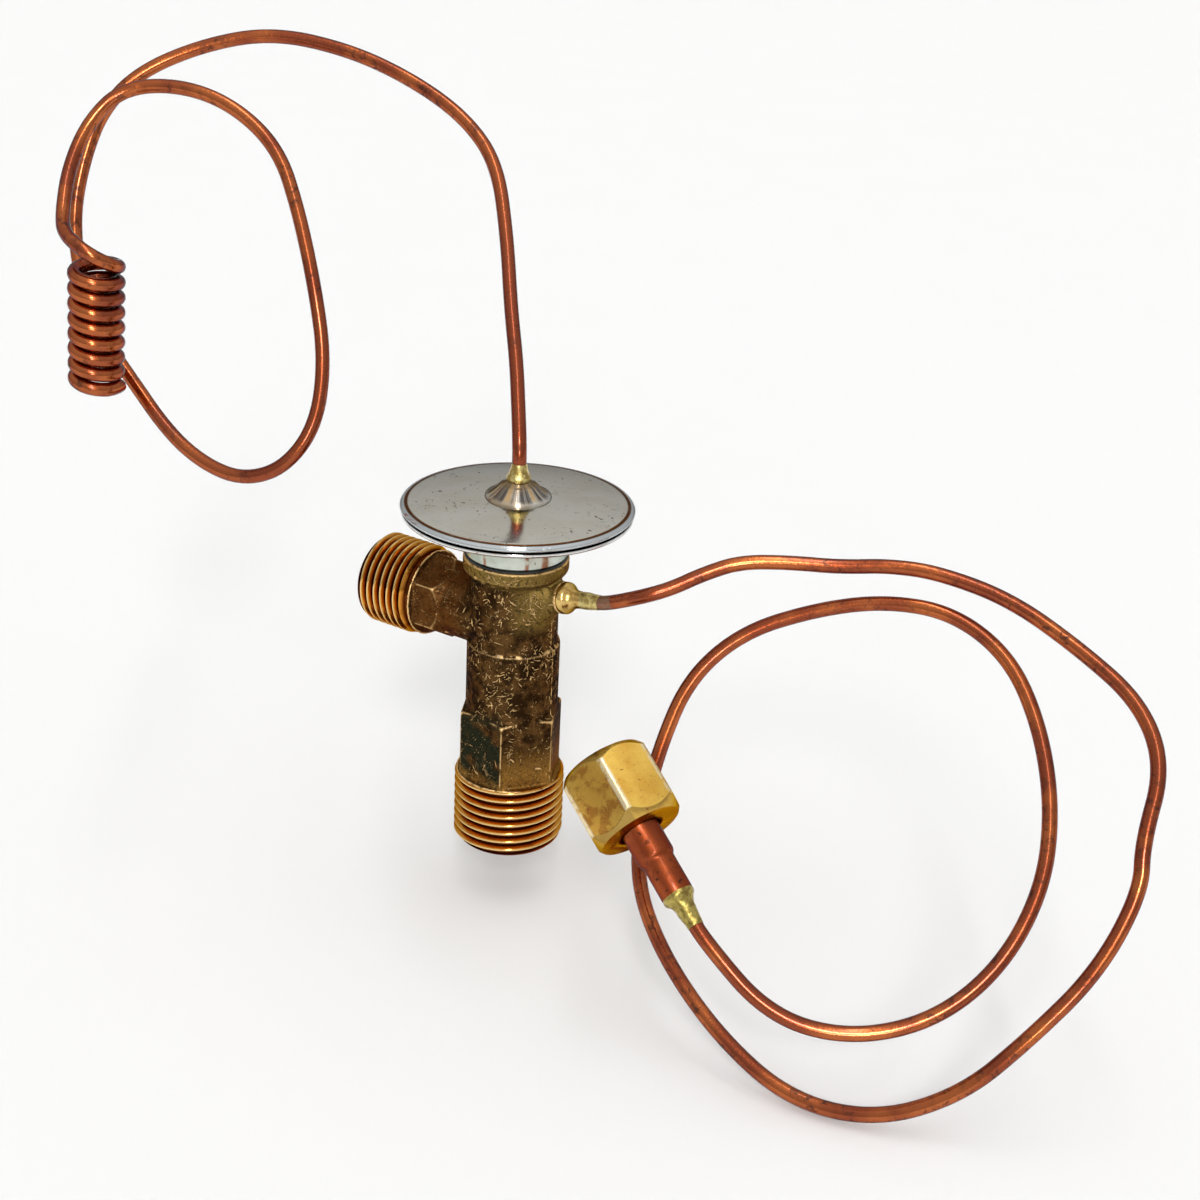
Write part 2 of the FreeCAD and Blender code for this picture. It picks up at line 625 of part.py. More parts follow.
slot_circle = slot_sketch.addGeometry(Part.Circle(FreeCAD.Vector(size("spring_radius + 0.6"), 0, 0),
                                                  FreeCAD.Vector(0, 0, 1), size("adjuster_slot_radius")), False)
pin(slot_sketch, slot_circle, 3, "spring_radius + 0.6", "0")
slot_radius = slot_sketch.addConstraint(Sketcher.Constraint("Radius", slot_circle, size("adjuster_slot_radius")))
slot_sketch.setExpression("Constraints[%d]" % slot_radius, bound("adjuster_slot_radius"))
slot = adjuster.newObject("PartDesign::Pocket", "adjusting_nut_slot_cut")
slot.Profile = slot_sketch
slot.Type = "ThroughAll"
slot.Reversed = True
slots = adjuster.newObject("PartDesign::PolarPattern", "adjusting_nut_slots")
slots.Originals = [slot]
slots.Axis = (slot_sketch, ["N_Axis"])
slots.Angle = 360
slots.Occurrences = 6
adjuster.Tip = slots

# Inlet strainer: a brass ring that carries a thimble of perforated sheet

inlet_place = "placement(vector(-Sizes.strainer_seat_floor; 0; Sizes.inlet_height); rotation(0; 90; 0))"
ring = new_body("strainer_ring")
revolve(ring, "section", [
    ("strainer_bore_radius - fit_clearance - strainer_skirt_sheet", "-strainer_flange_height"),
    ("strainer_seat_radius - fit_clearance", "-strainer_flange_height"),
    ("strainer_seat_radius - fit_clearance", "0"),
    ("strainer_bore_radius - fit_clearance", "0"),
    ("strainer_bore_radius - fit_clearance", "strainer_skirt_length"),
    ("strainer_bore_radius - fit_clearance - strainer_skirt_sheet", "strainer_skirt_length"),
])
ring.setExpression("Placement", inlet_place)

screen = new_body("strainer_screen")
outer_screen = "(strainer_bore_radius - fit_clearance - strainer_skirt_sheet)"
revolve(screen, "wall", [
    (outer_screen + " - screen_sheet", "0"),
    (outer_screen, "0"),
    (outer_screen, "screen_length"),
    (outer_screen + " - 1", "screen_length + 0.8"),
    ("0", "screen_length + 0.8"),
    ("0", "screen_length + 0.8 - screen_sheet"),
    (outer_screen + " - 1.1", "screen_length + 0.8 - screen_sheet"),
    (outer_screen + " - screen_sheet", "screen_length - 0.1"),
])
hole_sketch = add_sketch(screen, "holes", "XZ_Plane")
for step in range(2):
    along = "strainer_skirt_length + screen_row_step * (%d + 0.7)" % step
    circle = hole_sketch.addGeometry(Part.Circle(FreeCAD.Vector(0, size(along), 0),
                                                 FreeCAD.Vector(0, 0, 1), size("screen_hole_radius")), False)
    pin(hole_sketch, circle, 3, "0", along)
    radius = hole_sketch.addConstraint(Sketcher.Constraint("Radius", circle, size("screen_hole_radius")))
    hole_sketch.setExpression("Constraints[%d]" % radius, bound("screen_hole_radius"))
holes = screen.newObject("PartDesign::Pocket", "strainer_screen_hole_row")
holes.Profile = hole_sketch
holes.setExpression("Length", bound("strainer_bore_radius"))
hole_rows = screen.newObject("PartDesign::PolarPattern", "strainer_screen_hole_rows")
hole_rows.Originals = [holes]
hole_rows.Axis = (hole_sketch, ["V_Axis"])
hole_rows.Angle = 360
hole_rows.setExpression("Occurrences", bound("screen_hole_count"))
screen.Tip = hole_rows
screen.setExpression("Placement", inlet_place)

# Equalizer nipple and its braze, turned about the boss's own axis

boss_place = "placement(vector(0; 0; Sizes.boss_height); rotation(0; 90 - Sizes.boss_tilt; 0))"
bell = new_body("equalizer_nipple")
revolve(bell, "section", [
    ("tube_radius + fit_clearance", "boss_axis_length"),
    ("bell_radius - 0.1", "boss_axis_length"),
    ("bell_radius", "boss_axis_length + bell_rim", "0.9"),
    ("bell_radius - 0.4", "boss_axis_length + bell_rim + 0.8", "1.8"),
    ("tube_radius + 0.28", "boss_axis_length + bell_rim + 2.1", "-2.4"),
    ("tube_radius + 0.22", "bell_end"),
    ("tube_radius + fit_clearance", "bell_end"),
])
bell.setExpression("Placement", boss_place)

bell_braze = new_body("equalizer_braze")
revolve(bell_braze, "section", [
    ("tube_radius", "bell_end"),
    ("tube_radius + 0.2", "bell_end"),
    ("tube_radius + 0.18", "bell_end + equalizer_braze_length / 2"),
    ("tube_radius + 0.1", "equalizer_braze_end"),
    ("tube_radius", "equalizer_braze_end"),
])
bell_braze.setExpression("Placement", boss_place)

# Flare fitting at the equalizer tube's far end: stub, braze and loose nut

nut_place = ("placement(vector(Sizes.nut_x; Sizes.nut_y; Sizes.nut_z);"
             " rotation(Sizes.nut_yaw; Sizes.nut_pitch; 0))")
stub = new_body("flare_stub")
revolve(stub, "section", [
    ("flare_radius - 0.8", "flare_start - 0.35"),
    ("flare_radius", "flare_start"),
    ("stub_radius", "flare_start + flare_radius - stub_radius"),
    ("stub_radius", "stub_step - 0.5"),
    ("stub_small_radius", "stub_step + 0.3"),
    ("stub_small_radius", "stub_end"),
    ("tube_radius + fit_clearance", "stub_end"),
    ("tube_radius + fit_clearance", "stub_step + 0.8"),
    ("stub_radius - stub_wall", "stub_step - 1.0"),
    ("stub_radius - stub_wall", "flare_start - 0.35 + flare_radius - stub_radius"),
])
stub.setExpression("Placement", nut_place)

stub_braze = new_body("stub_braze")
revolve(stub_braze, "section", [
    ("tube_radius", "stub_end"),
    ("stub_small_radius - 0.05", "stub_end"),
    ("stub_small_radius - 0.3", "stub_end + 0.8", "0.9"),
    ("tube_radius + 0.4", "stub_end + 2.6", "-3"),
    ("tube_radius + 0.12", "stub_braze_end"),
    ("tube_radius", "stub_braze_end"),
])
stub_braze.setExpression("Placement", nut_place)

nut = new_body("flare_nut")
pad_hexagon(nut, "hexagon", "XY_Plane", "nut_corner", "nut_corner_angle", "-nut_end", "nut_length")
for end, name in ((1, "near"), (-1, "far")):
    sign = "" if end > 0 else "-"
    revolve(nut, name + "_chamfer", [
        ("nut_face_radius", "%s(nut_end + 0.1)" % sign),
        ("nut_corner + 0.1", "%s(nut_end + 0.1)" % sign),
        ("nut_corner + 0.1", "%s(nut_end - nut_chamfer)" % sign),
        ("nut_face_radius", "%snut_end" % sign),
    ], cut=True)
revolve(nut, "bore", [
    ("0", "-nut_end - 1"),
    ("nut_thread_radius", "-nut_end - 1"),
    ("nut_thread_radius", "nut_thread_end"),
    ("nut_relief_radius", "nut_thread_end"),
    ("nut_relief_radius", "nut_seat_start"),
    ("nut_hole_radius", "nut_seat_end"),
    ("nut_hole_radius", "nut_end + 1"),
    ("0", "nut_end + 1"),
], cut=True)
nut.setExpression("Placement", nut_place)


# Copper tubes: straight runs joined by tangent arcs, swept as solid round bars

def bent_line(points):
    """The centre line through the corner points, with its arcs' radii and its length."""
    edges, radii = [], []
    here = points[0]
    for before, corner, after in zip(points, points[1:], points[2:]):
        arriving = (corner - before).normalize()
        leaving = (after - corner).normalize()
        half_turn = arriving.getAngle(leaving) / 2
        if half_turn < straight_enough:
            continue
        setback = bend_share * min(corner.distanceToPoint(before), corner.distanceToPoint(after))
        radius = setback / math.tan(half_turn)
        first = corner - arriving * setback
        last = corner + leaving * setback
        inward = (leaving - arriving).normalize()
        crown = corner + inward * (radius / math.cos(half_turn) - radius)
        if here.distanceToPoint(first) > 1e-4:
            edges.append(Part.LineSegment(here, first).toShape())
        edges.append(Part.Arc(first, crown, last).toShape())
        radii.append(radius)
        here = last
    edges.append(Part.LineSegment(here, points[-1]).toShape())
    return Part.Wire(edges), radii


def add_tube(label, points):
    line, radii = bent_line(points)
    direction = points[1] - points[0]
    section = Part.Wire(Part.makeCircle(size("tube_radius"), points[0], direction))
    shape = line.makePipeShell([section], True, False)
    expected = math.pi * size("tube_radius") ** 2 * line.Length
    print("%s: length %.1f, smallest bend radius %.1f, volume against section times length %.4f"
          % (label, line.Length, min(radii), shape.Volume / expected))
    tube = document.addObject("Part::Feature", label)
    tube.Shape = shape
    return tube


def routed(points, route, reach, rise, height):
    """The points at the tube's own reach and rise, which are those of the furthest corners of its route."""
    sideways = size(reach) / max(abs(corner[0]) for corner in route)
    upward = size(rise) / max(abs(corner[2]) for corner in route)
    return [FreeCAD.Vector(x * sideways, y * sideways, z * upward + size(height)) for x, y, z in points]


def on_sensing_tube(points):
    return routed(points, sensing_route, "sensing_tube_reach", "sensing_tube_height", "dome_top")


def on_equalizer_tube(points):
    return routed(points, equalizer_route, "equalizer_tube_reach", "equalizer_tube_drop", "boss_height")


def coil_points():
    """Corners of the sensing coil, wound down its axis from the lead-in to the sealed end."""
    back = coil_axis.cross(coil_right)
    step_angle = 2 * math.pi / coil_steps_per_turn
    corner_radius = size("coil_radius") / (1 - 0.95 * (1 - math.cos(step_angle / 2)))
    middle = on_sensing_tube([coil_middle])[0]
    points = []
    for step in range(round(size("coil_turns") * coil_steps_per_turn) + 1):
        height = coil_start_height - size("coil_pitch") * step / coil_steps_per_turn
        around = coil_right * math.cos(step * step_angle) + back * math.sin(step * step_angle)
        points.append(middle + coil_axis * height + around * corner_radius)
    return points


def along_axis(base, yaw, pitch, distance):
    direction = FreeCAD.Rotation(yaw, pitch, 0).multVec(FreeCAD.Vector(0, 0, 1))
    return base + direction * distance


head_points = [FreeCAD.Vector(0, 0, size(height))
               for height in ("dome_top - 0.5", "nipple_top", "nipple_braze_top + 2.5")]
add_tube("sensing_tube", head_points + on_sensing_tube(sensing_route) + coil_points())

boss_base = FreeCAD.Vector(0, 0, size("boss_height"))
boss_points = [along_axis(boss_base, 0, 90 - size("boss_tilt"), size(reach))
               for reach in ("boss_axis_length + 0.5", "equalizer_braze_end - 1.4", "equalizer_braze_end + 1.1")]
nut_base = FreeCAD.Vector(size("nut_x"), size("nut_y"), size("nut_z"))
stub_points = [along_axis(nut_base, size("nut_yaw"), size("nut_pitch"), size(reach))
               for reach in ("stub_braze_end + 2.5", "stub_braze_end - 2.8", "stub_step + 1.0")]
add_tube("equalizer_tube", boss_points + on_equalizer_tube(equalizer_route) + stub_points)

# Checks, and one file for each piece

document.recompute()
pieces = [item for item in document.Objects
          if item.TypeId == "PartDesign::Body" or item.Label in
          ("push_rod", "rod_seal", "valve_ball", "superheat_spring", "sensing_tube", "equalizer_tube")]
for item in document.Objects:
    if {"Invalid", "Error"} & set(item.State):
        raise RuntimeError("%s failed: %s" % (item.Label, item.State))
os.makedirs("parts", exist_ok=True)
for piece in pieces:
    if piece.Shape.isNull() or not piece.Shape.isValid():
        raise RuntimeError("%s has no valid shape" % piece.Label)
for piece in pieces:
    piece.Shape.exportStep("parts/%s.step" % piece.Label)
    print("%-18s volume %9.2f  solids %d" % (piece.Label, piece.Shape.Volume, len(piece.Shape.Solids)))
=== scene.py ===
import bpy
import math
from functools import reduce
from mathutils import Matrix, Vector


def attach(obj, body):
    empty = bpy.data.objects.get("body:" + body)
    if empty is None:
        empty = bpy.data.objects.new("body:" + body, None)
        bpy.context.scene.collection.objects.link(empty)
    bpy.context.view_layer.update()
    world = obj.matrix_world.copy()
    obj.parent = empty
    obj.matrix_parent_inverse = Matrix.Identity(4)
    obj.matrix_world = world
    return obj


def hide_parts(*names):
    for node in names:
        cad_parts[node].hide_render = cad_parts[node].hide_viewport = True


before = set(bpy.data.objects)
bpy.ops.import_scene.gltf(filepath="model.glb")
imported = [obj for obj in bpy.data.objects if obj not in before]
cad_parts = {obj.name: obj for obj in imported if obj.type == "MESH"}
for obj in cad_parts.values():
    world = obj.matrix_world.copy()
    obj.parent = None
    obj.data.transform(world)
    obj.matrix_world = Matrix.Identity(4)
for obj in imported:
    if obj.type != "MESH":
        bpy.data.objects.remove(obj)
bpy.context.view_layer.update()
mm = 0.001
print("frame loaded")

# Places that several pieces share, in millimetres and degrees
heights = {"domeTop": 56.87, "nippleTop": 59.97, "tipBrazeTop": 62.57, "inlet": 34.8, "boss": 39.9}
nutStand = {"middle": (34.2, -18.2, 20.9), "tilt": 122.4, "heading": -20}
bossTilt = 81
rightward = (0.817, 0.576)  # a level direction, to the right of one who faces the hexagon's front corner
bossPlace = Matrix.Translation((0, 0, heights["boss"] * mm)) @ Matrix.Rotation(math.radians(bossTilt), 4, "Y")
inletPlace = Matrix.Translation((0, 0, heights["inlet"] * mm)) @ Matrix.Rotation(math.radians(-90), 4, "Y")
nutPlace = (Matrix.Translation([length * mm for length in nutStand["middle"]])
            @ Matrix.Rotation(math.radians(nutStand["heading"]), 4, "Z")
            @ Matrix.Rotation(math.radians(nutStand["tilt"]), 4, "Y"))


# Shader maths: a signal is one socket, and sums and products of signals add their Math nodes
class Signal:
    def __init__(self, tree, socket=None):
        self.tree = tree
        self.socket = socket

    def node(self, kind, settings=None, inputs=None, output=0):
        made = self.tree.nodes.new(kind)
        for name, value in (settings or {}).items():
            if name == "stops":
                ramp = made.color_ramp.elements
                for number, (share, shade) in enumerate(value):
                    stop = ramp[number] if number < len(ramp) else ramp.new(share)
                    stop.position = share
                    stop.color = (*shade, 1)
            else:
                setattr(made, name, value)
        for name, value in (inputs or {}).items():
            if isinstance(value, Signal):
                self.tree.links.new(value.socket, made.inputs[name])
            else:
                made.inputs[name].default_value = value
        return Signal(self.tree, made.outputs[output] if made.outputs else None)

    def math(self, operation, *values):
        return self.node("ShaderNodeMath", {"operation": operation}, dict(enumerate(values)))

    def __add__(self, other):
        return self.math("ADD", self, other)

    __radd__ = __add__

    def __mul__(self, other):
        return self.math("MULTIPLY", self, other)

    __rmul__ = __mul__

    def __sub__(self, other):
        return self.math("SUBTRACT", self, other)

    def __rsub__(self, other):
        return self.math("SUBTRACT", other, self)

    def __pow__(self, other):
        return self.math("POWER", self, other)

    def between(self, low, high):  # 0 below low, 1 above high, smooth between
        return self.node("ShaderNodeMapRange", {"interpolation_type": "SMOOTHSTEP"},
                         {"Value": self, "From Min": low, "From Max": high})

    def within(self, middle, half, core):  # 1 within core of the middle, 0 beyond half
        away = self - middle
        return away.math("ABSOLUTE", away).between(half, core)

    def stops(self, *colours):
        return self.node("ShaderNodeValToRGB", {"stops": colours}, {"Fac": self})

    def mix(self, first, second):  # self picks between two colours, each a signal or a tuple
        first, second = [(*colour, 1) if isinstance(colour, tuple) else colour for colour in (first, second)]
        return self.node("ShaderNodeMix", {"data_type": "RGBA"}, {0: self, 6: first, 7: second}, 2)

    def most(self, other):
        return self.math("MAXIMUM", self, other)

    def least(self, other):
        return self.math("MINIMUM", self, other)


def newFinish(name):
    material = bpy.data.materials.new(name)
    material.use_nodes = True
    tree = material.node_tree
    tree.nodes.clear()
    return material, Signal(tree)


def place(start, turn=(0, 0, 0), shift=(0, 0, 0)):
    # where a point is, in millimetres, along the axes of a part that is turned and shifted so
    metres = start.node("ShaderNodeTexCoord", output=3)
    millimetres = start.node("ShaderNodeVectorMath", {"operation": "SCALE"}, {0: metres, "Scale": 1 / mm})
    moved = start.node("ShaderNodeVectorMath", {"operation": "SUBTRACT"}, {0: millimetres, 1: shift})
    return start.node("ShaderNodeVectorRotate", {"rotation_type": "EULER_XYZ", "invert": True},
                      {"Vector": moved, "Rotation": tuple(math.radians(angle) for angle in turn)})


def axes(point):
    return [point.node("ShaderNodeSeparateXYZ", None, {0: point}, number) for number in range(3)]


def reachOf(x, y):  # the distance from an axis
    return (x * x + y * y) ** 0.5


def noise(point, scale, detail=4, rough=0.55, twist=0.0):
    inputs = {"Vector": point, "Scale": scale, "Detail": detail, "Roughness": rough, "Distortion": twist}
    return point.node("ShaderNodeTexNoise", None, inputs)


def warped(point, scale, reach):  # pushes each point aside by up to half of reach, in millimetres
    push = point.node("ShaderNodeTexNoise", None, {"Vector": point, "Scale": scale, "Detail": 2}, 1)
    push = point.node("ShaderNodeVectorMath", {"operation": "MULTIPLY_ADD"},
                      {0: push, 1: (reach,) * 3, 2: (-reach / 2,) * 3})
    return point.node("ShaderNodeVectorMath", {"operation": "ADD"}, {0: point, 1: push})


def stretched(point, *shares):
    return point.node("ShaderNodeVectorMath", {"operation": "MULTIPLY"}, {0: point, 1: shares})


def near(point, middle, inner, outer):  # 1 within inner of the middle, 0 beyond outer
    away = point.node("ShaderNodeVectorMath", {"operation": "DISTANCE"}, {0: point, 1: middle}, 1)
    return away.between(outer, inner)


def strokes(point, scale, wide, long, shift):
    # one short stroke in each cell, where a plane with the cell's own lean cuts the surface, and a wider band
    # round it for painted shadow beside the stroke
    point = point.node("ShaderNodeVectorMath", {"operation": "ADD"}, {0: point, 1: (shift,) * 3})
    middle = point.node("ShaderNodeTexVoronoi", None, {"Vector": point, "Scale": scale}, 2)
    chance = Signal(point.tree, middle.socket.node.outputs[1])
    lean = point.node("ShaderNodeVectorMath", {"operation": "SUBTRACT"}, {0: chance, 1: (0.5,) * 3})
    lean = point.node("ShaderNodeVectorMath", {"operation": "NORMALIZE"}, {0: lean})
    away = point.node("ShaderNodeVectorMath", {"operation": "SUBTRACT"}, {0: point, 1: middle})
    across = point.node("ShaderNodeVectorMath", {"operation": "DOT_PRODUCT"}, {0: away, 1: lean}, 1)
    reach = point.node("ShaderNodeVectorMath", {"operation": "LENGTH"}, {0: away}, 1)
    across = across.math("ABSOLUTE", across)
    return (across.between(wide, wide * 0.35) * reach.between(long, long * 0.75),
            across.between(wide * 3.2, wide * 0.9) * reach.between(long * 1.25, long * 0.9))


def complete(start, material, colour, roughness, metallic=1.0, height=None, depth=0.05, tint=None, coat=0.0):
    # depth is the bump's height in millimetres, tint the metal's colour at a glancing angle, coat an oily film
    inputs = {"Base Color": colour, "Roughness": roughness, "Metallic": metallic}
    if tint:
        inputs["Specular Tint"] = (*tint, 1)
    if coat:
        inputs["Coat Weight"] = coat
        inputs["Coat Roughness"] = 0.13
    if height is not None:
        inputs["Normal"] = start.node("ShaderNodeBump", None,
                                      {"Height": height, "Distance": depth * mm, "Strength": 1.0})
    shader = start.node("ShaderNodeBsdfPrincipled", None, inputs)
    start.node("ShaderNodeOutputMaterial", None, {"Surface": shader})
    return material


# Finishes
def makeCopper(name, seed, redness=0.0, heated=None, redEnd=None, dull=0.0):
    # drawn copper tube: bright where clean, redder and brown in long soft patches, grey where it was heated
    look = {"clean": (0.48, 0.120, 0.026), "red": (0.28, 0.052, 0.013), "tarnish": (0.060, 0.017, 0.008),
            "heated": (0.27, 0.155, 0.095), "edge": (0.05, 0.012, 0.006), "patch": 0.10, "mottle": 0.8,
            "redReach": (25, 80), "heatedReach": (1.45, 1.75), "coat": 0.5}
    material, start = newFinish(name)
    point = place(start, shift=(seed, seed, 0))
    broad = noise(point, look["patch"], 3, 0.5).between(0.40 - redness, 0.62 - redness)
    mottle = noise(point, look["mottle"], 5, 0.62, 0.5).between(0.51, 0.66)
    patchy = noise(point, 0.07, 2).between(0.42, 0.58)
    flecks = noise(point, 3.1, 3, 0.6).between(0.64, 0.75)
    if redEnd:
        broad = broad.most(near(place(start), redEnd, *look["redReach"]))
    colour = broad.mix(look["clean"], look["red"])
    colour = (mottle * patchy * 0.85 + flecks * 0.35).least(1.0).mix(colour, look["tarnish"])
    roughness = 0.19 + broad * 0.06 + mottle * 0.14
    if heated:
        zone = near(place(start), heated, *look["heatedReach"]) * noise(point, 1.4, 3, 0.6).between(0.30, 0.42)
        colour = (zone * 0.85).mix(colour, look["heated"])
        roughness = roughness + zone * 0.2
    if dull:
        spots = noise(point, 0.7, 3, 0.5).between(0.615, 0.66)
        colour = (spots * 0.85).mix(colour, look["tarnish"])
        roughness = roughness + spots * 0.2 + dull
    height = noise(point, 1.3, 4, 0.55)
    coat = look["coat"] - dull * 2
    return complete(start, material, colour, roughness, 1.0, height, 0.03, look["edge"], coat)


def makeThreadBrass(name, turn, shift, root, crest):
    # turned brass coloured by depth: a painted highlight on the narrow pale crests, saturated flanks, and
    # painted shade in the dark roots, with stains
    look = {"crest": (0.90, 0.62, 0.27), "edgeOn": (0.66, 0.30, 0.05), "flank": (0.50, 0.175, 0.022),
            "root": (0.10, 0.024, 0.004), "inside": (0.50, 0.25, 0.055), "stain": (0.16, 0.045, 0.010),
            "edge": (0.35, 0.18, 0.08)}
    material, start = newFinish(name)
    point = place(start, turn, shift)
    x, y = axes(point)[:2]
    radius = reachOf(x, y)
    depth = radius.between(root, crest)
    # painted shade towards the roots and a painted highlight on the crests, by depth
    rings = depth.stops((0.0, look["root"]), (0.10, look["root"]), (0.46, look["flank"]),
                        (0.86, look["edgeOn"]), (0.985, look["edgeOn"]), (1.0, look["crest"]))
    stain = noise(point, 0.4, 5, 0.65).between(0.5, 0.72)
    colour = (stain * 0.55 * depth.between(1.0, 0.8)).mix(rings, look["stain"])
    colour = radius.between(root - 0.02, root - 0.12).mix(colour, look["inside"])
    roughness = 0.09 + stain * 0.12 + noise(point, 5.0, 3) * 0.05
    return complete(start, material, colour, roughness, 1.0, noise(point, 4.0, 2), 0.006, look["edge"])


def makeForging(name):
    # forged and pickled brass gone brown, with gold where it is worn and scratched, painted shade in its
    # creases, beside its scratches and under the collar, and a painted highlight along the ledge
    look = {"dark": (0.026, 0.0125, 0.0045), "brown": (0.118, 0.059, 0.019), "green": (0.021, 0.0262, 0.0155),
            "rust": (0.145, 0.052, 0.012), "gold": (0.92, 0.60, 0.26), "olive": (0.25, 0.165, 0.045),
            "golden": (0.31, 0.155, 0.032), "paintedSkyReflection": (0.42, 0.43, 0.36), "paintedShade": (0.012, 0.010, 0.006),
            "edge": (0.25, 0.14, 0.06)}
    spot = {"ledge": 31.1, "front": -1.6, "parting": 0.35, "hexagon": (21.0, 17.0), "foot": (8.6, 6.9),
            "collar": (42.6, 44.0), "boss": (2.5, 6.5), "bossHeight": (34.0, 38.0), "inlet": (5.5, 9.0),
            "collarShadeFoot": (41.6, 43.0), "collarShadeTop": (44.3, 43.6), "collarShadeSide": (4.0, -5.0)}
    material, start = newFinish(name)
    point = place(start)
    x, y, z = axes(point)
    radius = reachOf(x, y)
    aside = x * rightward[0] + y * rightward[1]
    blotch = noise(point, 0.5, 5, 0.62)
    grain = noise(point, 5.5, 4, 0.7)
    fine = noise(point, 2.6, 5, 0.7)
    colour = blotch.between(0.40, 0.62).mix(look["dark"], look["brown"])
    # the hexagon: greenish on the left, golden towards the port on the right
    lower = z.between(*spot["hexagon"])
    leftward = aside.between(spot["front"] + 0.2, spot["front"] - 0.4)
    green = lower * leftward * noise(point, 0.3, 3).between(0.34, 0.5)
    colour = (green * 0.95).mix(colour, look["green"])
    golden = lower * aside.between(spot["front"] - 0.2, spot["front"] + 0.6)
    golden = golden * (z + blotch * 8.0).between(19.0, 12.0) * fine.between(0.30, 0.56)
    golden = golden.most(z.between(*spot["foot"]) * fine.between(0.38, 0.55) * 0.8)
    colour = golden.mix(colour, look["golden"])
    inletSide = (x * -1.0).between(*spot["inlet"])
    colour = (inletSide * fine.between(0.3, 0.62) * 0.85).mix(colour, look["rust"])
    # olive gold on the collar and round the equalizer boss, with painted shade in sunk crease lines
    bossZone = x.between(*spot["boss"]) * z.between(*spot["bossHeight"])
    olive = z.between(*spot["collar"]).most(bossZone * 0.95)
    colour = (olive * (0.35 + fine.between(0.3, 0.6) * 0.75)).least(1.0).mix(colour, look["olive"])
    creases = strokes(warped(point, 0.9, 1.0), 0.62, 0.13, 1.5, 3.7)[0] * blotch.between(0.38, 0.5)
    colour = (creases * (0.25 + olive * 0.55)).mix(colour, look["paintedShade"])
    # painted shade under the collar's overhang, on the inlet side
    underCollar = z.between(*spot["collarShadeFoot"]) * z.between(*spot["collarShadeTop"]) * x.between(*spot["collarShadeSide"])
    colour = (underCollar * 0.85).mix(colour, look["paintedShade"])
    # short scratches in clusters, with a painted shadow along each side
    bent = warped(point, 0.55, 0.55)
    cluster = noise(point, 0.19, 3, 0.5, 0.4).between(0.46, 0.56) * (1 - z.between(41.0, 43.5) * 0.3)
    cluster = cluster * (1 - golden * 0.6) * (1 - green * 0.75) * (1 - inletSide * 0.85)
    few = noise(point, 0.33, 2).between(0.48, 0.6) * (1 - inletSide * 0.7)
    lines, sides = [], []
    for share, *sizes in ((cluster, 0.50, 0.085, 0.85, 0.0), (cluster, 0.80, 0.075, 0.55, 11.3),
                          (cluster, 1.15, 0.070, 0.34, 29.0), (few, 0.40, 0.080, 1.0, 47.0)):
        line, side = strokes(bent, *sizes)
        lines.append(line * share)
        sides.append(side * share)
    halo = reduce(Signal.most, sides)
    scratches = reduce(Signal.most, lines) * (0.5 + noise(point, 1.4, 2).between(0.40, 0.56) * 0.5)
    # painted shadow beside the scratches
    colour = (halo * 0.55).mix(colour, look["paintedShade"])
    specks = noise(point, 3.4, 3, 0.6).between(0.645, 0.69) * noise(point, 0.45, 2).between(0.42, 0.54)
    # worn corners: where the mesh itself is sharp, and along the parting line; along the ledge, gold wear with
    # a painted highlight
    dotted = noise(point, 1.9, 3, 0.7).between(0.45, 0.53)
    sharp = start.node("ShaderNodeNewGeometry", output=7).between(0.512, 0.54) * (
        noise(point, 0.9, 4, 0.65).between(0.36, 0.50).most(inletSide * dotted))
    parting = y.within(spot["parting"], 0.16, 0.06) * x.between(5.0, 6.0) * z.between(43.0, 42.0) * dotted
    ledge = z.within(spot["ledge"], 0.34, 0.12) * radius.between(7.3, 7.5)
    ledge = ledge * noise(point, 0.5, 4, 0.6).between(0.49, 0.58) * (x * -1.0).between(2.0, -2.0) * 0.75
    wear = scratches.most(specks * 0.75).most(sharp).most(parting).most(ledge)
    colour = wear.mix(colour, look["gold"])
    # a pale painted reflection of the sky along the ledge
    colour = (ledge * noise(point, 1.2, 2).between(0.45, 0.6) * 0.7).mix(colour, look["paintedSkyReflection"])
    roughness = 0.40 - wear * 0.14 + grain * 0.10
    height = grain * 0.35 + fine * 0.5 + blotch * 1.2 + scratches * 0.7 - creases * 0.5
    return complete(start, material, colour, roughness, 0.92, height, 0.11, look["edge"])


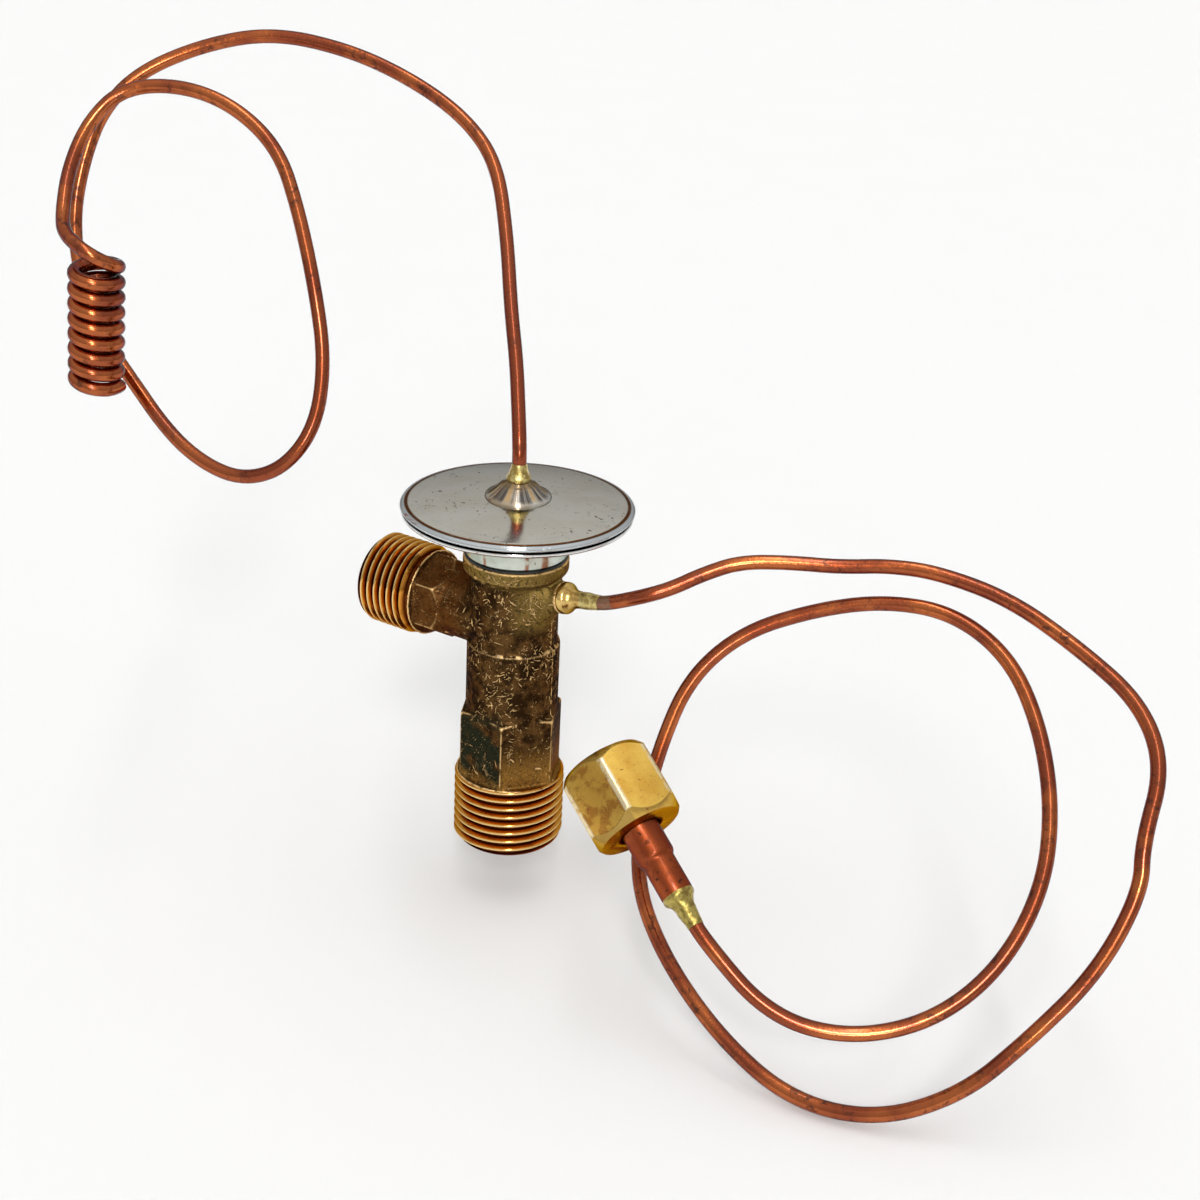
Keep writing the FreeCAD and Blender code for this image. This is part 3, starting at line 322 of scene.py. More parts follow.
def makePlate(name, look):
    # bright plated sheet with small brown specks, stains and a fine grain
    material, start = newFinish(name)
    point = place(start)
    x, y, z = axes(point)
    radius = reachOf(x, y)
    cloud = noise(point, 0.09, 4, 0.6, 0.6)
    colour = cloud.between(0.35, 0.65).mix(look["plate"], look["warm"])
    specks = noise(point, 0.95, 4, 0.7).between(0.625, 0.66) * noise(point, 0.16, 3).between(0.43, 0.55)
    smudge = noise(point, 0.45, 5, 0.7, 1.2).between(0.58, 0.72) * 0.28
    colour = specks.most(smudge).mix(colour, look["speck"])
    for middle, half in look.get("streaks", ()):
        aside = x * rightward[0] + y * rightward[1] + (noise(stretched(point, 1, 1, 0.3), 0.9, 3) - 0.5) * 0.8
        streak = aside.within(middle, half, half * 0.3) * noise(point, 0.5, 3).between(0.35, 0.5)
        colour = (streak * 0.85).mix(colour, look["brown"])
    if "rays" in look:  # streaks down the cone, a pale foot, darker round its tip
        flat = start.node("ShaderNodeVectorMath", {"operation": "MULTIPLY"}, {0: point, 1: (1, 1, 0)})
        flat = start.node("ShaderNodeVectorMath", {"operation": "NORMALIZE"}, {0: flat})
        ray = noise(flat, 3.4, 4, 0.75)
        colour = (ray.between(0.44, 0.60) * radius.between(5.6, 4.6)).mix(colour, look["rays"])
        colour = (ray.between(0.52, 0.42) * radius.between(5.2, 4.2) * 0.9).mix(colour, look["warmRay"])
        colour = (radius.between(3.9, 2.2) * 0.7).mix(colour, look["tip"])
    roughness = look["roughness"] + cloud * 0.06 + specks * 0.3
    if "groove" in look:  # painted shade in the crimp's groove
        low, high, inner = look["groove"]
        groove = z.within((low + high) / 2, (high - low) * 0.6, (high - low) * 0.4)
        colour = (groove * radius.between(inner, inner + 0.2)).mix(colour, look["gapShade"])
    if "foot" in look:  # painted shade: the sheet's lower edge painted brown where it falls in shadow
        foot = z.between(look["foot"] + 0.06, look["foot"] - 0.06) * radius.between(18.0, 18.5)
        colour = (foot * 0.85).mix(colour, look["brown"])
    if "seam" in look:  # a faint pressed ring, a brown seam inside the rolled edge, and the edge itself
        ring = radius.within(look["ring"], 0.28, 0.06) * cloud.between(0.3, 0.6) * 0.4
        colour = ring.mix(colour, look["bead"])
        colour = (radius - look["seam"]).between(0.15, 0.35).mix(colour, look["bead"])
        seam = radius.within(look["seam"], 0.42, 0.16) * (0.65 + noise(point, 0.5, 3) * 0.8)
        colour = seam.least(1.0).mix(colour, look["brown"])
        roughness = roughness + seam * 0.2
    return complete(start, material, colour, roughness, 1.0, noise(point, 0.35, 3, 0.5), 0.02, look["edge"])


def makeBraze(name, look, seed):
    # silver braze: yellow green, a little lumpy, with a copper tint where it thins out
    material, start = newFinish(name)
    point = place(start, shift=(seed, 0, 0))
    lumps = noise(point, 1.1, 4, 0.6)
    colour = lumps.between(0.38, 0.62).mix(look["light"], look["dark"])
    colour = (noise(point, 2.6, 3).between(0.6, 0.7) * 0.6).mix(colour, look["stain"])
    roughness = 0.22 + lumps * 0.2
    return complete(start, material, colour, roughness, 0.95, lumps, 0.12)


def makeSheetBrass(name, look):
    # clean yellow brass, with faint tool marks and a few reddish stains
    material, start = newFinish(name)
    point = place(start)
    cloud = noise(point, 0.22, 4, 0.55)
    colour = cloud.between(0.35, 0.68).mix(look["light"], look["deep"])
    spots = noise(point, look["spot"], 4, 0.65).between(0.635, 0.69) * 0.8
    pits = noise(point, 2.4, 2).between(0.67, 0.73) * 0.6
    if "turn" in look:  # the nut: one facet painted in shade and stained, a painted highlight along the corners, chamfers and ends darker (the chamfer more so on the shaded facet), and painted shade in the bore round the stub
        own = place(start, look["turn"], look["shift"])
        x, y, z = axes(own)
        radius = reachOf(x, y)
        facing = math.radians(look["shadedFacet"])
        # painted shade on one facet, mixed with stains
        dull = ((x * math.cos(facing) + y * math.sin(facing)) * radius ** -1.0).between(*look["facetReach"])
        stained = noise(point, 0.35, 5, 0.65).between(0.46, 0.60)
        colour = (dull * (0.6 + stained * 0.4)).mix(colour, stained.mix(look["dull"], look["brown"]))
        # a painted highlight along the rounded corners, broken up by noise
        worn = radius.between(*look["corner"]) * (noise(point, 0.8, 3).between(0.36, 0.50) * 0.7 + 0.2)
        colour = worn.mix(colour, look["worn"])
        end = z.math("ABSOLUTE", z)
        chamfer = (end + radius * look["chamferSlope"] - look["chamferReach"]).between(-0.16, -0.05)
        colour = (chamfer * (1 - worn * 0.8) * (0.6 + dull * 0.3)).mix(colour, look["chamfer"])
        flatEnd = end.between(6.0, 6.2) * radius.between(6.75, 6.65)
        colour = (flatEnd * (0.55 + cloud * 0.5)).mix(colour, look["end"])
        # painted shade in the bore's gap round the stub
        colour = (radius.between(4.05, 3.7) * end.between(2.0, 3.0)).mix(colour, look["gapShade"])
    colour = spots.most(pits).mix(colour, look["stain"])
    roughness = look["roughness"] + cloud * 0.12 + spots * 0.2
    return complete(start, material, colour, roughness, 1.0, noise(point, 2.2, 4, 0.6), 0.02, look["edge"])


def makePlain(name, first, second, roughness, metallic):
    # an inner piece's finish: two near colours in soft clouds over a fine grain
    material, start = newFinish(name)
    point = place(start)
    cloud = noise(point, 0.8, 4, 0.6)
    colour = cloud.between(0.35, 0.65).mix(first, second)
    return complete(start, material, colour, cloud * 0.15 + roughness, metallic, noise(point, 4.8, 2), 0.02)


finishes = {
    "sensingCopper": makeCopper("sensingCopper", 0, redEnd=(0.0, 0.0, 62.0)),
    "equalizerCopper": makeCopper("equalizerCopper", 37, 0.05, heated=(18.07, 0.0, 42.8)),
    "stubCopper": makeCopper("stubCopper", 130, 0.1, dull=0.13),
    "outletBrass": makeThreadBrass("outletBrass", (0, 0, 0), (0, 0, 0), 8.55, 9.5),
    "inletBrass": makeThreadBrass("inletBrass", (0, -90, 0), (0, 0, heights["inlet"]), 7.07, 7.92),
    "forging": makeForging("forgedBrass"),
    "plate": makePlate("platedTop", {
        "plate": (0.76, 0.74, 0.66), "warm": (0.72, 0.68, 0.59), "speck": (0.12, 0.07, 0.03),
        "bead": (0.60, 0.63, 0.64), "brown": (0.13, 0.05, 0.015), "gapShade": (0.010, 0.014, 0.018),
        "edge": (0.5, 0.5, 0.5), "groove": (54.50, 55.14, 18.4), "seam": 18.3, "ring": 16.4,
        "roughness": 0.09}),
    "rim": makePlate("platedRim", {
        "plate": (0.88, 0.88, 0.87), "warm": (0.78, 0.76, 0.72), "speck": (0.30, 0.12, 0.04),
        "brown": (0.13, 0.055, 0.02), "gapShade": (0.010, 0.014, 0.018), "edge": (0.5, 0.5, 0.5),
        "groove": (54.42, 54.9, 18.4), "foot": 54.06, "roughness": 0.1}),
    "neckPlate": makePlate("platedNeck", {
        "plate": (0.66, 0.69, 0.62), "warm": (0.42, 0.46, 0.38), "speck": (0.16, 0.10, 0.05),
        "brown": (0.34, 0.12, 0.05), "edge": (0.25, 0.3, 0.28),
        "streaks": ((1.8, 0.45), (4.7, 0.7), (-5.2, 0.3)), "roughness": 0.3}),
    "cone": makePlate("platedCone", {
        "plate": (0.70, 0.68, 0.63), "warm": (0.50, 0.40, 0.28), "speck": (0.16, 0.10, 0.06),
        "rays": (0.11, 0.10, 0.09), "warmRay": (0.62, 0.40, 0.17), "tip": (0.26, 0.17, 0.075),
        "edge": (0.3, 0.3, 0.3), "roughness": 0.13}),
    "nutBrass": makeSheetBrass("nutBrass", {
        "light": (1.0, 0.64, 0.13), "deep": (0.84, 0.47, 0.08), "stain": (0.26, 0.07, 0.025),
        "dull": (0.47, 0.265, 0.052), "brown": (0.42, 0.19, 0.036), "worn": (0.95, 0.80, 0.50),
        "chamfer": (0.40, 0.26, 0.070), "end": (0.48, 0.22, 0.045), "gapShade": (0.03, 0.012, 0.004),
        "edge": (0.45, 0.3, 0.12), "spot": 0.5, "roughness": 0.2,
        "turn": (0, nutStand["tilt"], nutStand["heading"]), "shift": nutStand["middle"],
        "shadedFacet": 244, "facetReach": (0.852, 0.872), "corner": (7.86, 8.02),
        "chamferSlope": 1.308, "chamferReach": 15.014}),
    "bellBrass": makeSheetBrass("bellBrass", {
        "light": (0.80, 0.56, 0.20), "deep": (0.48, 0.29, 0.075), "stain": (0.20, 0.10, 0.03),
        "edge": (0.16, 0.13, 0.05), "spot": 0.9, "roughness": 0.16}),
    "tipBraze": makeBraze("tipBraze", {
        "light": (0.68, 0.56, 0.22), "dark": (0.36, 0.25, 0.07), "stain": (0.20, 0.10, 0.04)}, 5),
    "stubBraze": makeBraze("stubBraze", {
        "light": (0.50, 0.40, 0.11), "dark": (0.25, 0.18, 0.045), "stain": (0.14, 0.06, 0.02)}, 25),
    "gasket": makePlain("blackRubber", (0.012, 0.013, 0.012), (0.028, 0.032, 0.028), 0.45, 0.0),
    "springSteel": makePlain("springSteel", (0.42, 0.42, 0.43), (0.30, 0.29, 0.28), 0.28, 1.0),
    "stainless": makePlain("stainless", (0.58, 0.57, 0.55), (0.47, 0.46, 0.44), 0.25, 1.0),
    "turnedBrass": makePlain("turnedBrass", (0.72, 0.47, 0.14), (0.55, 0.32, 0.09), 0.28, 1.0),
}
print("finishes made")


# Modelling helpers. Lengths are in millimetres until they reach Blender.
def startEditing():
    bpy.ops.object.mode_set(mode="EDIT")


def stopEditing():
    bpy.ops.object.mode_set(mode="OBJECT")


def clearSelection():
    bpy.ops.object.select_all(action="DESELECT")


def pick(piece):
    clearSelection()
    piece.select_set(True)
    bpy.context.view_layer.objects.active = piece


def pullRings(rings, start):
    # extrudes the selected ring of edges through each (radius, height) in turn
    radius, height = start
    for nextRadius, nextHeight in rings:
        bpy.ops.mesh.extrude_region_move(TRANSFORM_OT_translate={"value": (0, 0, (nextHeight - height) * mm)})
        share = nextRadius / radius
        if abs(share - 1) > 1e-9:
            bpy.ops.transform.resize(value=(share, share, 1), center_override=(0, 0, nextHeight * mm))
        radius, height = nextRadius, nextHeight


def closeUp(fill=True):
    # merges doubles, fills open rings and points the faces outwards
    bpy.ops.mesh.select_all(action="SELECT")
    bpy.ops.mesh.remove_doubles(threshold=1e-7)
    if fill:
        bpy.ops.mesh.select_all(action="DESELECT")
        bpy.ops.mesh.select_non_manifold()
        bpy.ops.mesh.fill_holes(sides=0)
        bpy.ops.mesh.select_all(action="SELECT")
    bpy.ops.mesh.normals_make_consistent(inside=False)


def turned(name, outline, sides=96, ring=False):
    # a turned piece: outline runs from the lowest ring, up the outside; ring closes it on its first corner
    clearSelection()
    radius, height = outline[0]
    bpy.ops.mesh.primitive_circle_add(vertices=sides, radius=radius * mm, location=(0, 0, height * mm))
    piece = bpy.context.object
    piece.name = name
    bpy.ops.object.transform_apply(location=True)
    startEditing()
    pullRings(outline[1:] + outline[:1] if ring else outline[1:], outline[0])
    closeUp(fill=not ring)
    stopEditing()
    return piece


def bowed(start, end, rise, steps=6):
    # points of a curved line in a section, standing out to the right of its chord by rise
    across, up = end[0] - start[0], end[1] - start[1]
    chord = math.hypot(across, up)
    found = []
    for step in range(1, steps + 1):
        share = step / steps
        push = 4 * share * (1 - share) * rise / chord
        found.append((start[0] + across * share + up * push, start[1] + up * share - across * push))
    return found


def putAt(piece, where):
    piece.matrix_world = where
    pick(piece)
    bpy.ops.object.transform_apply(location=True, rotation=True, scale=True)
    return piece


def applied(piece, kind, **settings):
    pick(piece)
    modifier = piece.modifiers.new(kind.lower(), kind)
    for name, value in settings.items():
        setattr(modifier, name, value)
    bpy.ops.object.modifier_apply(modifier=modifier.name)


def smooth(piece, angle):
    pick(piece)
    bpy.ops.object.shade_smooth_by_angle(angle=math.radians(angle))
    return piece


def scaled(piece, share):
    piece.scale = (share,) * 3
    pick(piece)
    bpy.ops.object.transform_apply(scale=True)


def cut(piece, cutter, operation="DIFFERENCE"):
    # at this size a Boolean's own tolerance is too coarse, so both pieces are enlarged to one unit a millimetre
    scaled(cutter, 1 / mm)
    scaled(piece, 1 / mm)
    applied(piece, "BOOLEAN", operation=operation, object=cutter, solver="EXACT")
    bpy.data.objects.remove(cutter)
    scaled(piece, mm)
    return piece


def uneven(piece, size, reach):
    # pushes the points of a cast or brazed piece in and out by a soft noise, in millimetres
    texture = bpy.data.textures.new(piece.name + "Swell", "CLOUDS")
    texture.noise_scale = size * mm
    texture.noise_depth = 2
    applied(piece, "DISPLACE", texture=texture, texture_coords="LOCAL", strength=reach * mm, mid_level=0.5)
    bpy.data.textures.remove(texture)
    return piece


def dress(piece, finish, body, slot, *replaced):
    piece.data.materials.clear()
    piece.data.materials.append(finishes[finish])
    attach(piece, body)
    if replaced:
        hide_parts(*replaced)


def rightHandThread(name, thread):
    # one tooth's outline, screwed up the axis and closed, then turned down to its blank and bored
    pitch, root, crestFlat = thread["pitch"], thread["root"], thread["crestFlat"]
    flank = (pitch - crestFlat - thread["rootFlat"]) / 2
    deep = thread["crest"] - root
    shares, last = (0.34, 0.33, 0.27), 0.06  # of the flank, which ends in a small round
    steps = [(0.0, thread["rootFlat"])] + [(deep * share, flank * share) for share in shares]
    steps += [(deep * last, flank * last + crestFlat * 0.15), (0.0, crestFlat * 0.7),
              (-deep * last, flank * last + crestFlat * 0.15)]
    steps += [(-deep * share, flank * share) for share in reversed(shares)]
    low, high = thread["blank"][0][1], thread["blank"][-1][1]
    clearSelection()
    bpy.ops.mesh.primitive_plane_add(size=mm, location=(root * mm, 0, (low - pitch * 1.5) * mm))
    piece = bpy.context.object
    piece.name = name
    bpy.ops.object.transform_apply(location=True)
    startEditing()
    bpy.ops.mesh.merge(type="CENTER")
    for out, up in steps:
        bpy.ops.mesh.extrude_region_move(TRANSFORM_OT_translate={"value": (out * mm, 0, up * mm)})
    stopEditing()
    applied(piece, "SCREW", axis="Z", screw_offset=pitch * mm, steps=thread["steps"],
            render_steps=thread["steps"], iterations=math.ceil((high - low) / pitch) + 3,
            use_merge_vertices=True, merge_threshold=1e-7)
    startEditing()
    closeUp()
    stopEditing()
    cut(piece, turned(name + "Blank", thread["blank"], 128), "INTERSECT")
    cut(piece, turned(name + "Bore", thread["bore"]))
    return smooth(piece, 40)


def bentTube(name, points, radius, fineness=12):
    # a round bar along a smooth line, with the route's corners as its control points
    line = bpy.data.curves.new(name, "CURVE")
    line.dimensions = "3D"
    spline = line.splines.new("NURBS")
    spline.points.add(len(points) - 1)
    for control, point in zip(spline.points, points):
        control.co = (*[length * mm for length in point], 1)
    spline.order_u = 3
    spline.use_endpoint_u = True
    spline.resolution_u = fineness
    line.bevel_depth = radius * mm
    line.bevel_resolution = 6
    line.use_fill_caps = True
    piece = bpy.data.objects.new(name, line)
    bpy.context.scene.collection.objects.link(piece)
    pick(piece)
    bpy.ops.object.convert(target="MESH")
    piece = bpy.context.object
    startEditing()
    closeUp(fill=False)
    stopEditing()
    return smooth(piece, 50)


# Copper tubes. Both routes start at the end of a straight run, whose height is added to them.
sensingTube = {
    "radius": 1.2,
    "points": [
        (-3.0, 3.5, 13.6), (-6.5, 7.5, 19.6), (-11.5, 12.5, 26.6), (-18.5, 20.5, 36.1), (-26.0, 27.5, 46.1),
        (-35.0, 30.5, 52.1), (-46.5, 30.5, 57.1), (-59.0, 28.0, 61.1), (-72.0, 22.5, 63.1),
        (-82.0, 15.5, 60.6), (-90.5, 7.5, 55.6), (-94.0, 1.5, 49.1), (-93.5, -4.0, 41.1),
        (-92.0, -8.5, 32.1), (-87.5, -12.0, 23.1), (-81.5, -14.0, 14.6), (-73.5, -15.0, 8.6),
        (-61.5, -17.5, 1.1), (-52.5, -18.0, -2.4), (-44.5, -17.0, -3.4), (-38.0, -14.0, -0.4),
        (-35.0, -9.5, 6.6), (-36.5, -5.5, 16.6), (-41.0, -2.5, 27.1), (-48.0, 1.5, 38.6),
        (-55.0, 4.5, 47.6), (-64.5, 4.0, 53.6), (-74.0, 1.0, 56.1), (-82.5, -4.0, 55.1),
        (-85.5, -9.5, 49.6), (-85.0, -15.0, 42.6), (-80.5, -21.0, 36.6), (-76.5, -24.5, 34.6),
        (-71.5, -26.0, 33.3), (-68.5, -25.0, 31.7), (-67.6, -22.2, 30.1)],
    "coilMiddle": (-72.6, -22.3, 17.4), "coilAxis": (0.093, -0.005, 0.996),
    "coilRight": (0.635, 0.686, -0.056), "coilStart": 12.1, "coilPitch": 2.65, "coilTurns": 8,
    "coilSteps": 8, "coilRadius": 3.83, "coilLoss": 0.95,
}


def along(where, distance):
    return tuple(length / mm for length in where @ Vector((0, 0, distance * mm)))


def coilPoints(tube):
    # the smooth line runs inside its control points, so they stand a little further out than the coil
    axis, right = Vector(tube["coilAxis"]), Vector(tube["coilRight"])
    back = axis.cross(right)
    turn = 2 * math.pi / tube["coilSteps"]
    reach = tube["coilRadius"] / (1 - tube["coilLoss"] * (1 - math.cos(turn / 2)))
    found = []
    for step in range(tube["coilTurns"] * tube["coilSteps"] + 1):
        height = tube["coilStart"] - tube["coilPitch"] * step / tube["coilSteps"]
        around = right * math.cos(step * turn) + back * math.sin(step * turn)
        found.append(tuple(Vector(tube["coilMiddle"]) + axis * height + around * reach))
    return found


def lifted(points, height):
    return [(x, y, z + height) for x, y, z in points]


headRun = [(0, 0, heights["domeTop"] - 0.5), (0, 0, heights["nippleTop"]), (0, 0, heights["tipBrazeTop"] + 2.5)]
freeRun = lifted(sensingTube["points"] + coilPoints(sensingTube), heights["domeTop"])
sensing = bentTube("sensingTube", headRun + freeRun, sensingTube["radius"])
dress(sensing, "sensingCopper", "valve", "copper", "sensing_tube")

equalizerTube = {
    "radius": 1.2, "bossRun": (10.52, 15.82, 18.32), "stubRun": (25.9, 20.6, 12.4),
    "points": [
        (24.0, 1.5, 5.3), (27.5, 4.5, 6.7), (31.0, 8.0, 9.0), (35.5, 12.0, 11.1), (42.5, 16.0, 11.6),
        (49.5, 19.5, 11.6), (56.5, 23.0, 12.6), (64.0, 25.5, 12.6), (75.5, 27.5, 10.6), (88.0, 26.5, 6.1),
        (99.0, 24.0, 1.6), (105.5, 19.0, -4.9), (106.5, 11.0, -13.9), (108.5, 7.5, -19.9),
        (106.5, -0.5, -30.4), (100.5, -8.5, -40.4), (94.0, -15.0, -49.4), (83.5, -21.0, -55.4),
        (70.5, -24.0, -55.9), (57.0, -22.5, -51.4), (44.5, -19.0, -44.4), (35.5, -14.0, -36.9),
        (32.0, -8.0, -27.9), (31.5, -2.5, -17.4), (32.5, 3.5, -7.4), (38.0, 10.0, 0.1),
        (47.5, 16.5, 4.6), (57.0, 21.5, 7.1), (67.5, 24.5, 7.1), (78.0, 24.0, 2.6),
        (86.0, 19.5, -5.4), (92.0, 12.5, -14.4), (95.0, 4.5, -23.4), (93.5, -5.0, -32.9),
        (87.5, -14.0, -39.9), (77.5, -21.5, -42.9), (66.5, -26.0, -40.9)],
}
bossRun = [along(bossPlace, distance) for distance in equalizerTube["bossRun"]]
stubRun = [along(nutPlace, distance) for distance in equalizerTube["stubRun"]]
freeRun = lifted(equalizerTube["points"], heights["boss"])
equalizer = bentTube("equalizerTube", bossRun + freeRun + stubRun, equalizerTube["radius"])
dress(equalizer, "equalizerCopper", "valve", "copper", "equalizer_tube")
print("tubes bent")

# The two ports: right-hand threads, 16 and 18 to the inch, on sleeves with their own bores
outletThread = {
    "pitch": 1.5875, "root": 8.56, "crest": 9.525, "crestFlat": 0.22, "rootFlat": 0.3, "steps": 96,
    "blank": [(8.575, -6.5), (9.6, -5.475), (9.6, 6.175), (9.275, 6.5)],
    "bore": [(7.0, -7.0), (7.0, 2.5), (5.6, 2.5), (5.6, 7.0)],
}
dress(rightHandThread("outletPort", outletThread), "outletBrass", "valve", "forged_brass")

inletThread = {
    "pitch": 1.4111, "root": 7.08, "crest": 7.9375, "crestFlat": 0.2, "rootFlat": 0.27, "steps": 96,
    "blank": [(7.15, 17.3), (7.15, 18.0), (8.0, 18.85), (8.0, 27.3875), (7.0875, 28.3)],
    "bore": [(4.1, 16.8), (4.1, 19.5), (4.8, 19.5), (4.8, 20.3), (5.3, 20.3), (5.3, 28.8)],
}
dress(putAt(rightHandThread("inletPort", inletThread), inletPlace), "inletBrass", "valve", "forged_brass")
print("threads cut")

# Forging: solids joined, bored, melted together by a fine remesh, and left slightly soft at the edges
forging = {
    "barrel": [(9.3, 6.1), (9.3, 6.5), (7.9, 6.5), (7.9, 31.0), (7.4, 31.5), (7.4, 42.6), (7.55, 43.2),
               (7.9, 43.6), (8.65, 44.25), (8.85, 44.6), (8.85, 46.4), (8.65, 46.6)],
    "bores": [(5.6, 5.0), (5.6, 12.0), (5.2, 12.0), (5.2, 21.0), (1.9, 21.0), (1.9, 24.5), (3.6, 24.5),
              (3.6, 36.6), (1.25, 36.6), (1.25, 38.2), (2.6, 38.2), (2.6, 39.8), (6.05, 39.8), (6.05, 47.6)],
    "neck": [(6.1, 4.0), (6.1, 16.6), (7.6, 16.9), (7.6, 17.2)],
    "inletBores": [(2.8, 2.0), (2.8, 11.2), (4.1, 11.2), (4.1, 18.0)],
    "horn": [(4.9, 3.0), (4.75, 6.6), (4.1, 7.2), (3.4, 7.9), (2.95, 8.5), (2.75, 9.0), (2.7, 10.02)],
    "hexagon": {"corner": 9.18, "span": (6.4, 19.0), "slope": 1.1, "turn": 25, "coneUp": True},
    "inletHexagon": {"corner": 7.332, "span": (11.0, 17.2), "slope": 3.25, "turn": 30, "coneUp": False},
    "offGrid": 1.3, "voxel": 0.23, "softening": 3,
}


def hexagonBlock(name, shape):
    # a hexagon prism with its corners turned down to a cone at its upper or its lower end
    clearSelection()
    corner, slope = shape["corner"], shape["slope"]
    low, high = shape["span"]
    bpy.ops.mesh.primitive_cylinder_add(vertices=6, radius=corner * mm, depth=(high - low) * mm,
                                        location=(0, 0, (low + high) / 2 * mm))
    block = bpy.context.object
    block.name = name
    bpy.ops.object.transform_apply(location=True)
    putAt(block, Matrix.Rotation(math.radians(shape["turn"]), 4, "Z"))
    inner, wide = corner * math.cos(math.radians(30)) - 0.4, corner + 1
    if shape["coneUp"]:
        outline = [(wide, low - 0.5), (wide, high - slope), (inner, high + 0.05)]
    else:
        outline = [(inner, low - 0.05), (wide, low + slope), (wide, high + 0.5)]
    return cut(block, turned(name + "Blank", outline), "INTERSECT")


# pieces that cross the barrel are turned a little, so that no facets of theirs lie in one plane
offGrid = Matrix.Rotation(math.radians(forging["offGrid"]), 4, "Z")
body = turned("valveForging", forging["barrel"])
cut(body, hexagonBlock("bodyHexagon", forging["hexagon"]), "UNION")
neck = turned("inletNeck", forging["neck"], 90)
cut(neck, hexagonBlock("inletHexagon", forging["inletHexagon"]), "UNION")
cut(body, putAt(neck, inletPlace @ offGrid), "UNION")
cut(body, putAt(turned("bossHorn", forging["horn"], 70), bossPlace @ offGrid), "UNION")
cut(body, turned("axialBores", forging["bores"], 84))
cut(body, putAt(turned("inletBores", forging["inletBores"], 70), inletPlace @ offGrid))
print("forging joined")
applied(body, "REMESH", mode="VOXEL", voxel_size=forging["voxel"] * mm, use_smooth_shade=True)
applied(body, "SMOOTH", factor=0.5, iterations=forging["softening"])
dress(body, "forging", "valve", "forged_brass", "valve_body")
print("forging finished", len(body.data.polygons))


# Power head: plated neck and gasket, two pressed cases crimped at the rim, and the nipple's cone
adapterOutline = [(2.6, 42.6), (6.0, 42.6), (6.0, 46.95), (8.1, 46.95), (8.35, 47.05), (8.5, 47.3),
                  (8.5, 50.7), (8.65, 51.0), (9.0, 51.2), (2.6, 51.2)]
adapter = smooth(turned("neckPlated", adapterOutline, 128, ring=True), 30)
dress(adapter, "neckPlate", "valve", "plated_steel", "head_adapter")

gasketOutline = [(6.45, 46.6), (8.5, 46.6), (8.6, 46.66), (8.65, 46.77), (8.6, 46.89), (8.5, 46.95),
                 (6.45, 46.95)]
gasket = smooth(turned("neckGasket", gasketOutline, ring=True), 50)
dress(gasket, "gasket", "valve", "rubber", "head_gasket")

lowerOutline = [(3.5, 51.2), (8.8, 51.2), (9.6, 51.24)] + bowed((9.6, 51.24), (16.1, 53.25), 0.22)
lowerOutline += bowed((16.1, 53.25), (18.7, 53.8), 0.06, 4) + bowed((18.7, 53.8), (18.98, 54.0), 0.06, 3)
lowerOutline += bowed((18.98, 54.0), (18.98, 54.42), 0.08, 4)
lowerOutline += [(18.55, 54.55), (16.4, 54.55), (10.4, 52.1), (3.5, 52.1)]
lowerCase = smooth(turned("lowerCasePressed", lowerOutline, 192, ring=True), 30)
dress(lowerCase, "rim", "valve", "plated_steel", "lower_case")

upperOutline = [(1.25, 55.9), (5.5, 55.9), (16.4, 55.17), (16.7, 54.67), (18.55, 54.67), (19.05, 54.86)]
upperOutline += bowed((19.05, 54.86), (19.02, 55.6), 0.26, 8) + bowed((19.02, 55.6), (18.6, 55.74), 0.08, 3)
upperOutline += [(18.45, 55.7)] + bowed((18.45, 55.7), (18.2, 55.79), -0.03, 3)
upperOutline += bowed((18.2, 55.79), (5.6, 56.87), 0.18, 24) + [(1.25, 56.87)]
upperCase = smooth(turned("upperCasePressed", upperOutline, 256, ring=True), 30)
dress(upperCase, "plate", "valve", "plated_steel", "upper_case")

coneOutline = [(1.25, 56.87), (5.5, 56.87)] + bowed((5.5, 56.87), (5.05, 57.4), 0.12, 4)
coneOutline += bowed((5.05, 57.4), (3.1, 58.97), -0.1, 6)
coneOutline += bowed((3.1, 58.97), (1.5, 59.97), -0.12, 6) + [(1.25, 59.97)]
cone = smooth(turned("capillaryCone", coneOutline, 96, ring=True), 40)
dress(cone, "cone", "valve", "plated_steel", "capillary_nipple")

tipOutline = [(1.21, 59.75), (1.95, 59.6)] + bowed((1.95, 59.6), (1.9, 60.5), 0.12, 4)
tipOutline += bowed((1.9, 60.5), (1.35, 62.2), -0.1, 6) + [(1.22, 62.57)]
tipBraze = uneven(turned("tipBrazeLump", tipOutline, 64, ring=True), 1.6, 0.22)
dress(smooth(tipBraze, 60), "tipBraze", "valve", "braze", "nipple_braze")
print("power head made")

# Equalizer nipple on the boss: a bell, its braze, and the tube's grey heated end
bellOutline = [(1.25, 10.02), (2.6, 10.02), (2.68, 10.14), (2.7, 10.45), (2.66, 10.85)]
bellOutline += bowed((2.66, 10.85), (2.3, 11.4), 0.05, 5) + bowed((2.3, 11.4), (1.45, 13.3), -0.24, 9)
bellOutline += [(1.42, 13.6), (1.4, 13.9), (1.25, 13.92)]
bell = turned("equalizerBell", bellOutline, 96, ring=True)
dress(smooth(putAt(bell, bossPlace), 40), "bellBrass", "valve", "turned_brass", "equalizer_nipple")

bellBrazeOutline = [(1.21, 13.7), (1.42, 13.72)] + bowed((1.42, 13.72), (1.4, 15.3), 0.04, 5)
bellBrazeOutline += bowed((1.4, 15.3), (1.27, 17.0), -0.02, 6) + [(1.21, 17.2)]
bellBraze = putAt(turned("bellBrazeBand", bellBrazeOutline, 64, ring=True), bossPlace)
dress(smooth(uneven(bellBraze, 1.2, 0.08), 60), "tipBraze", "valve", "braze", "equalizer_braze")

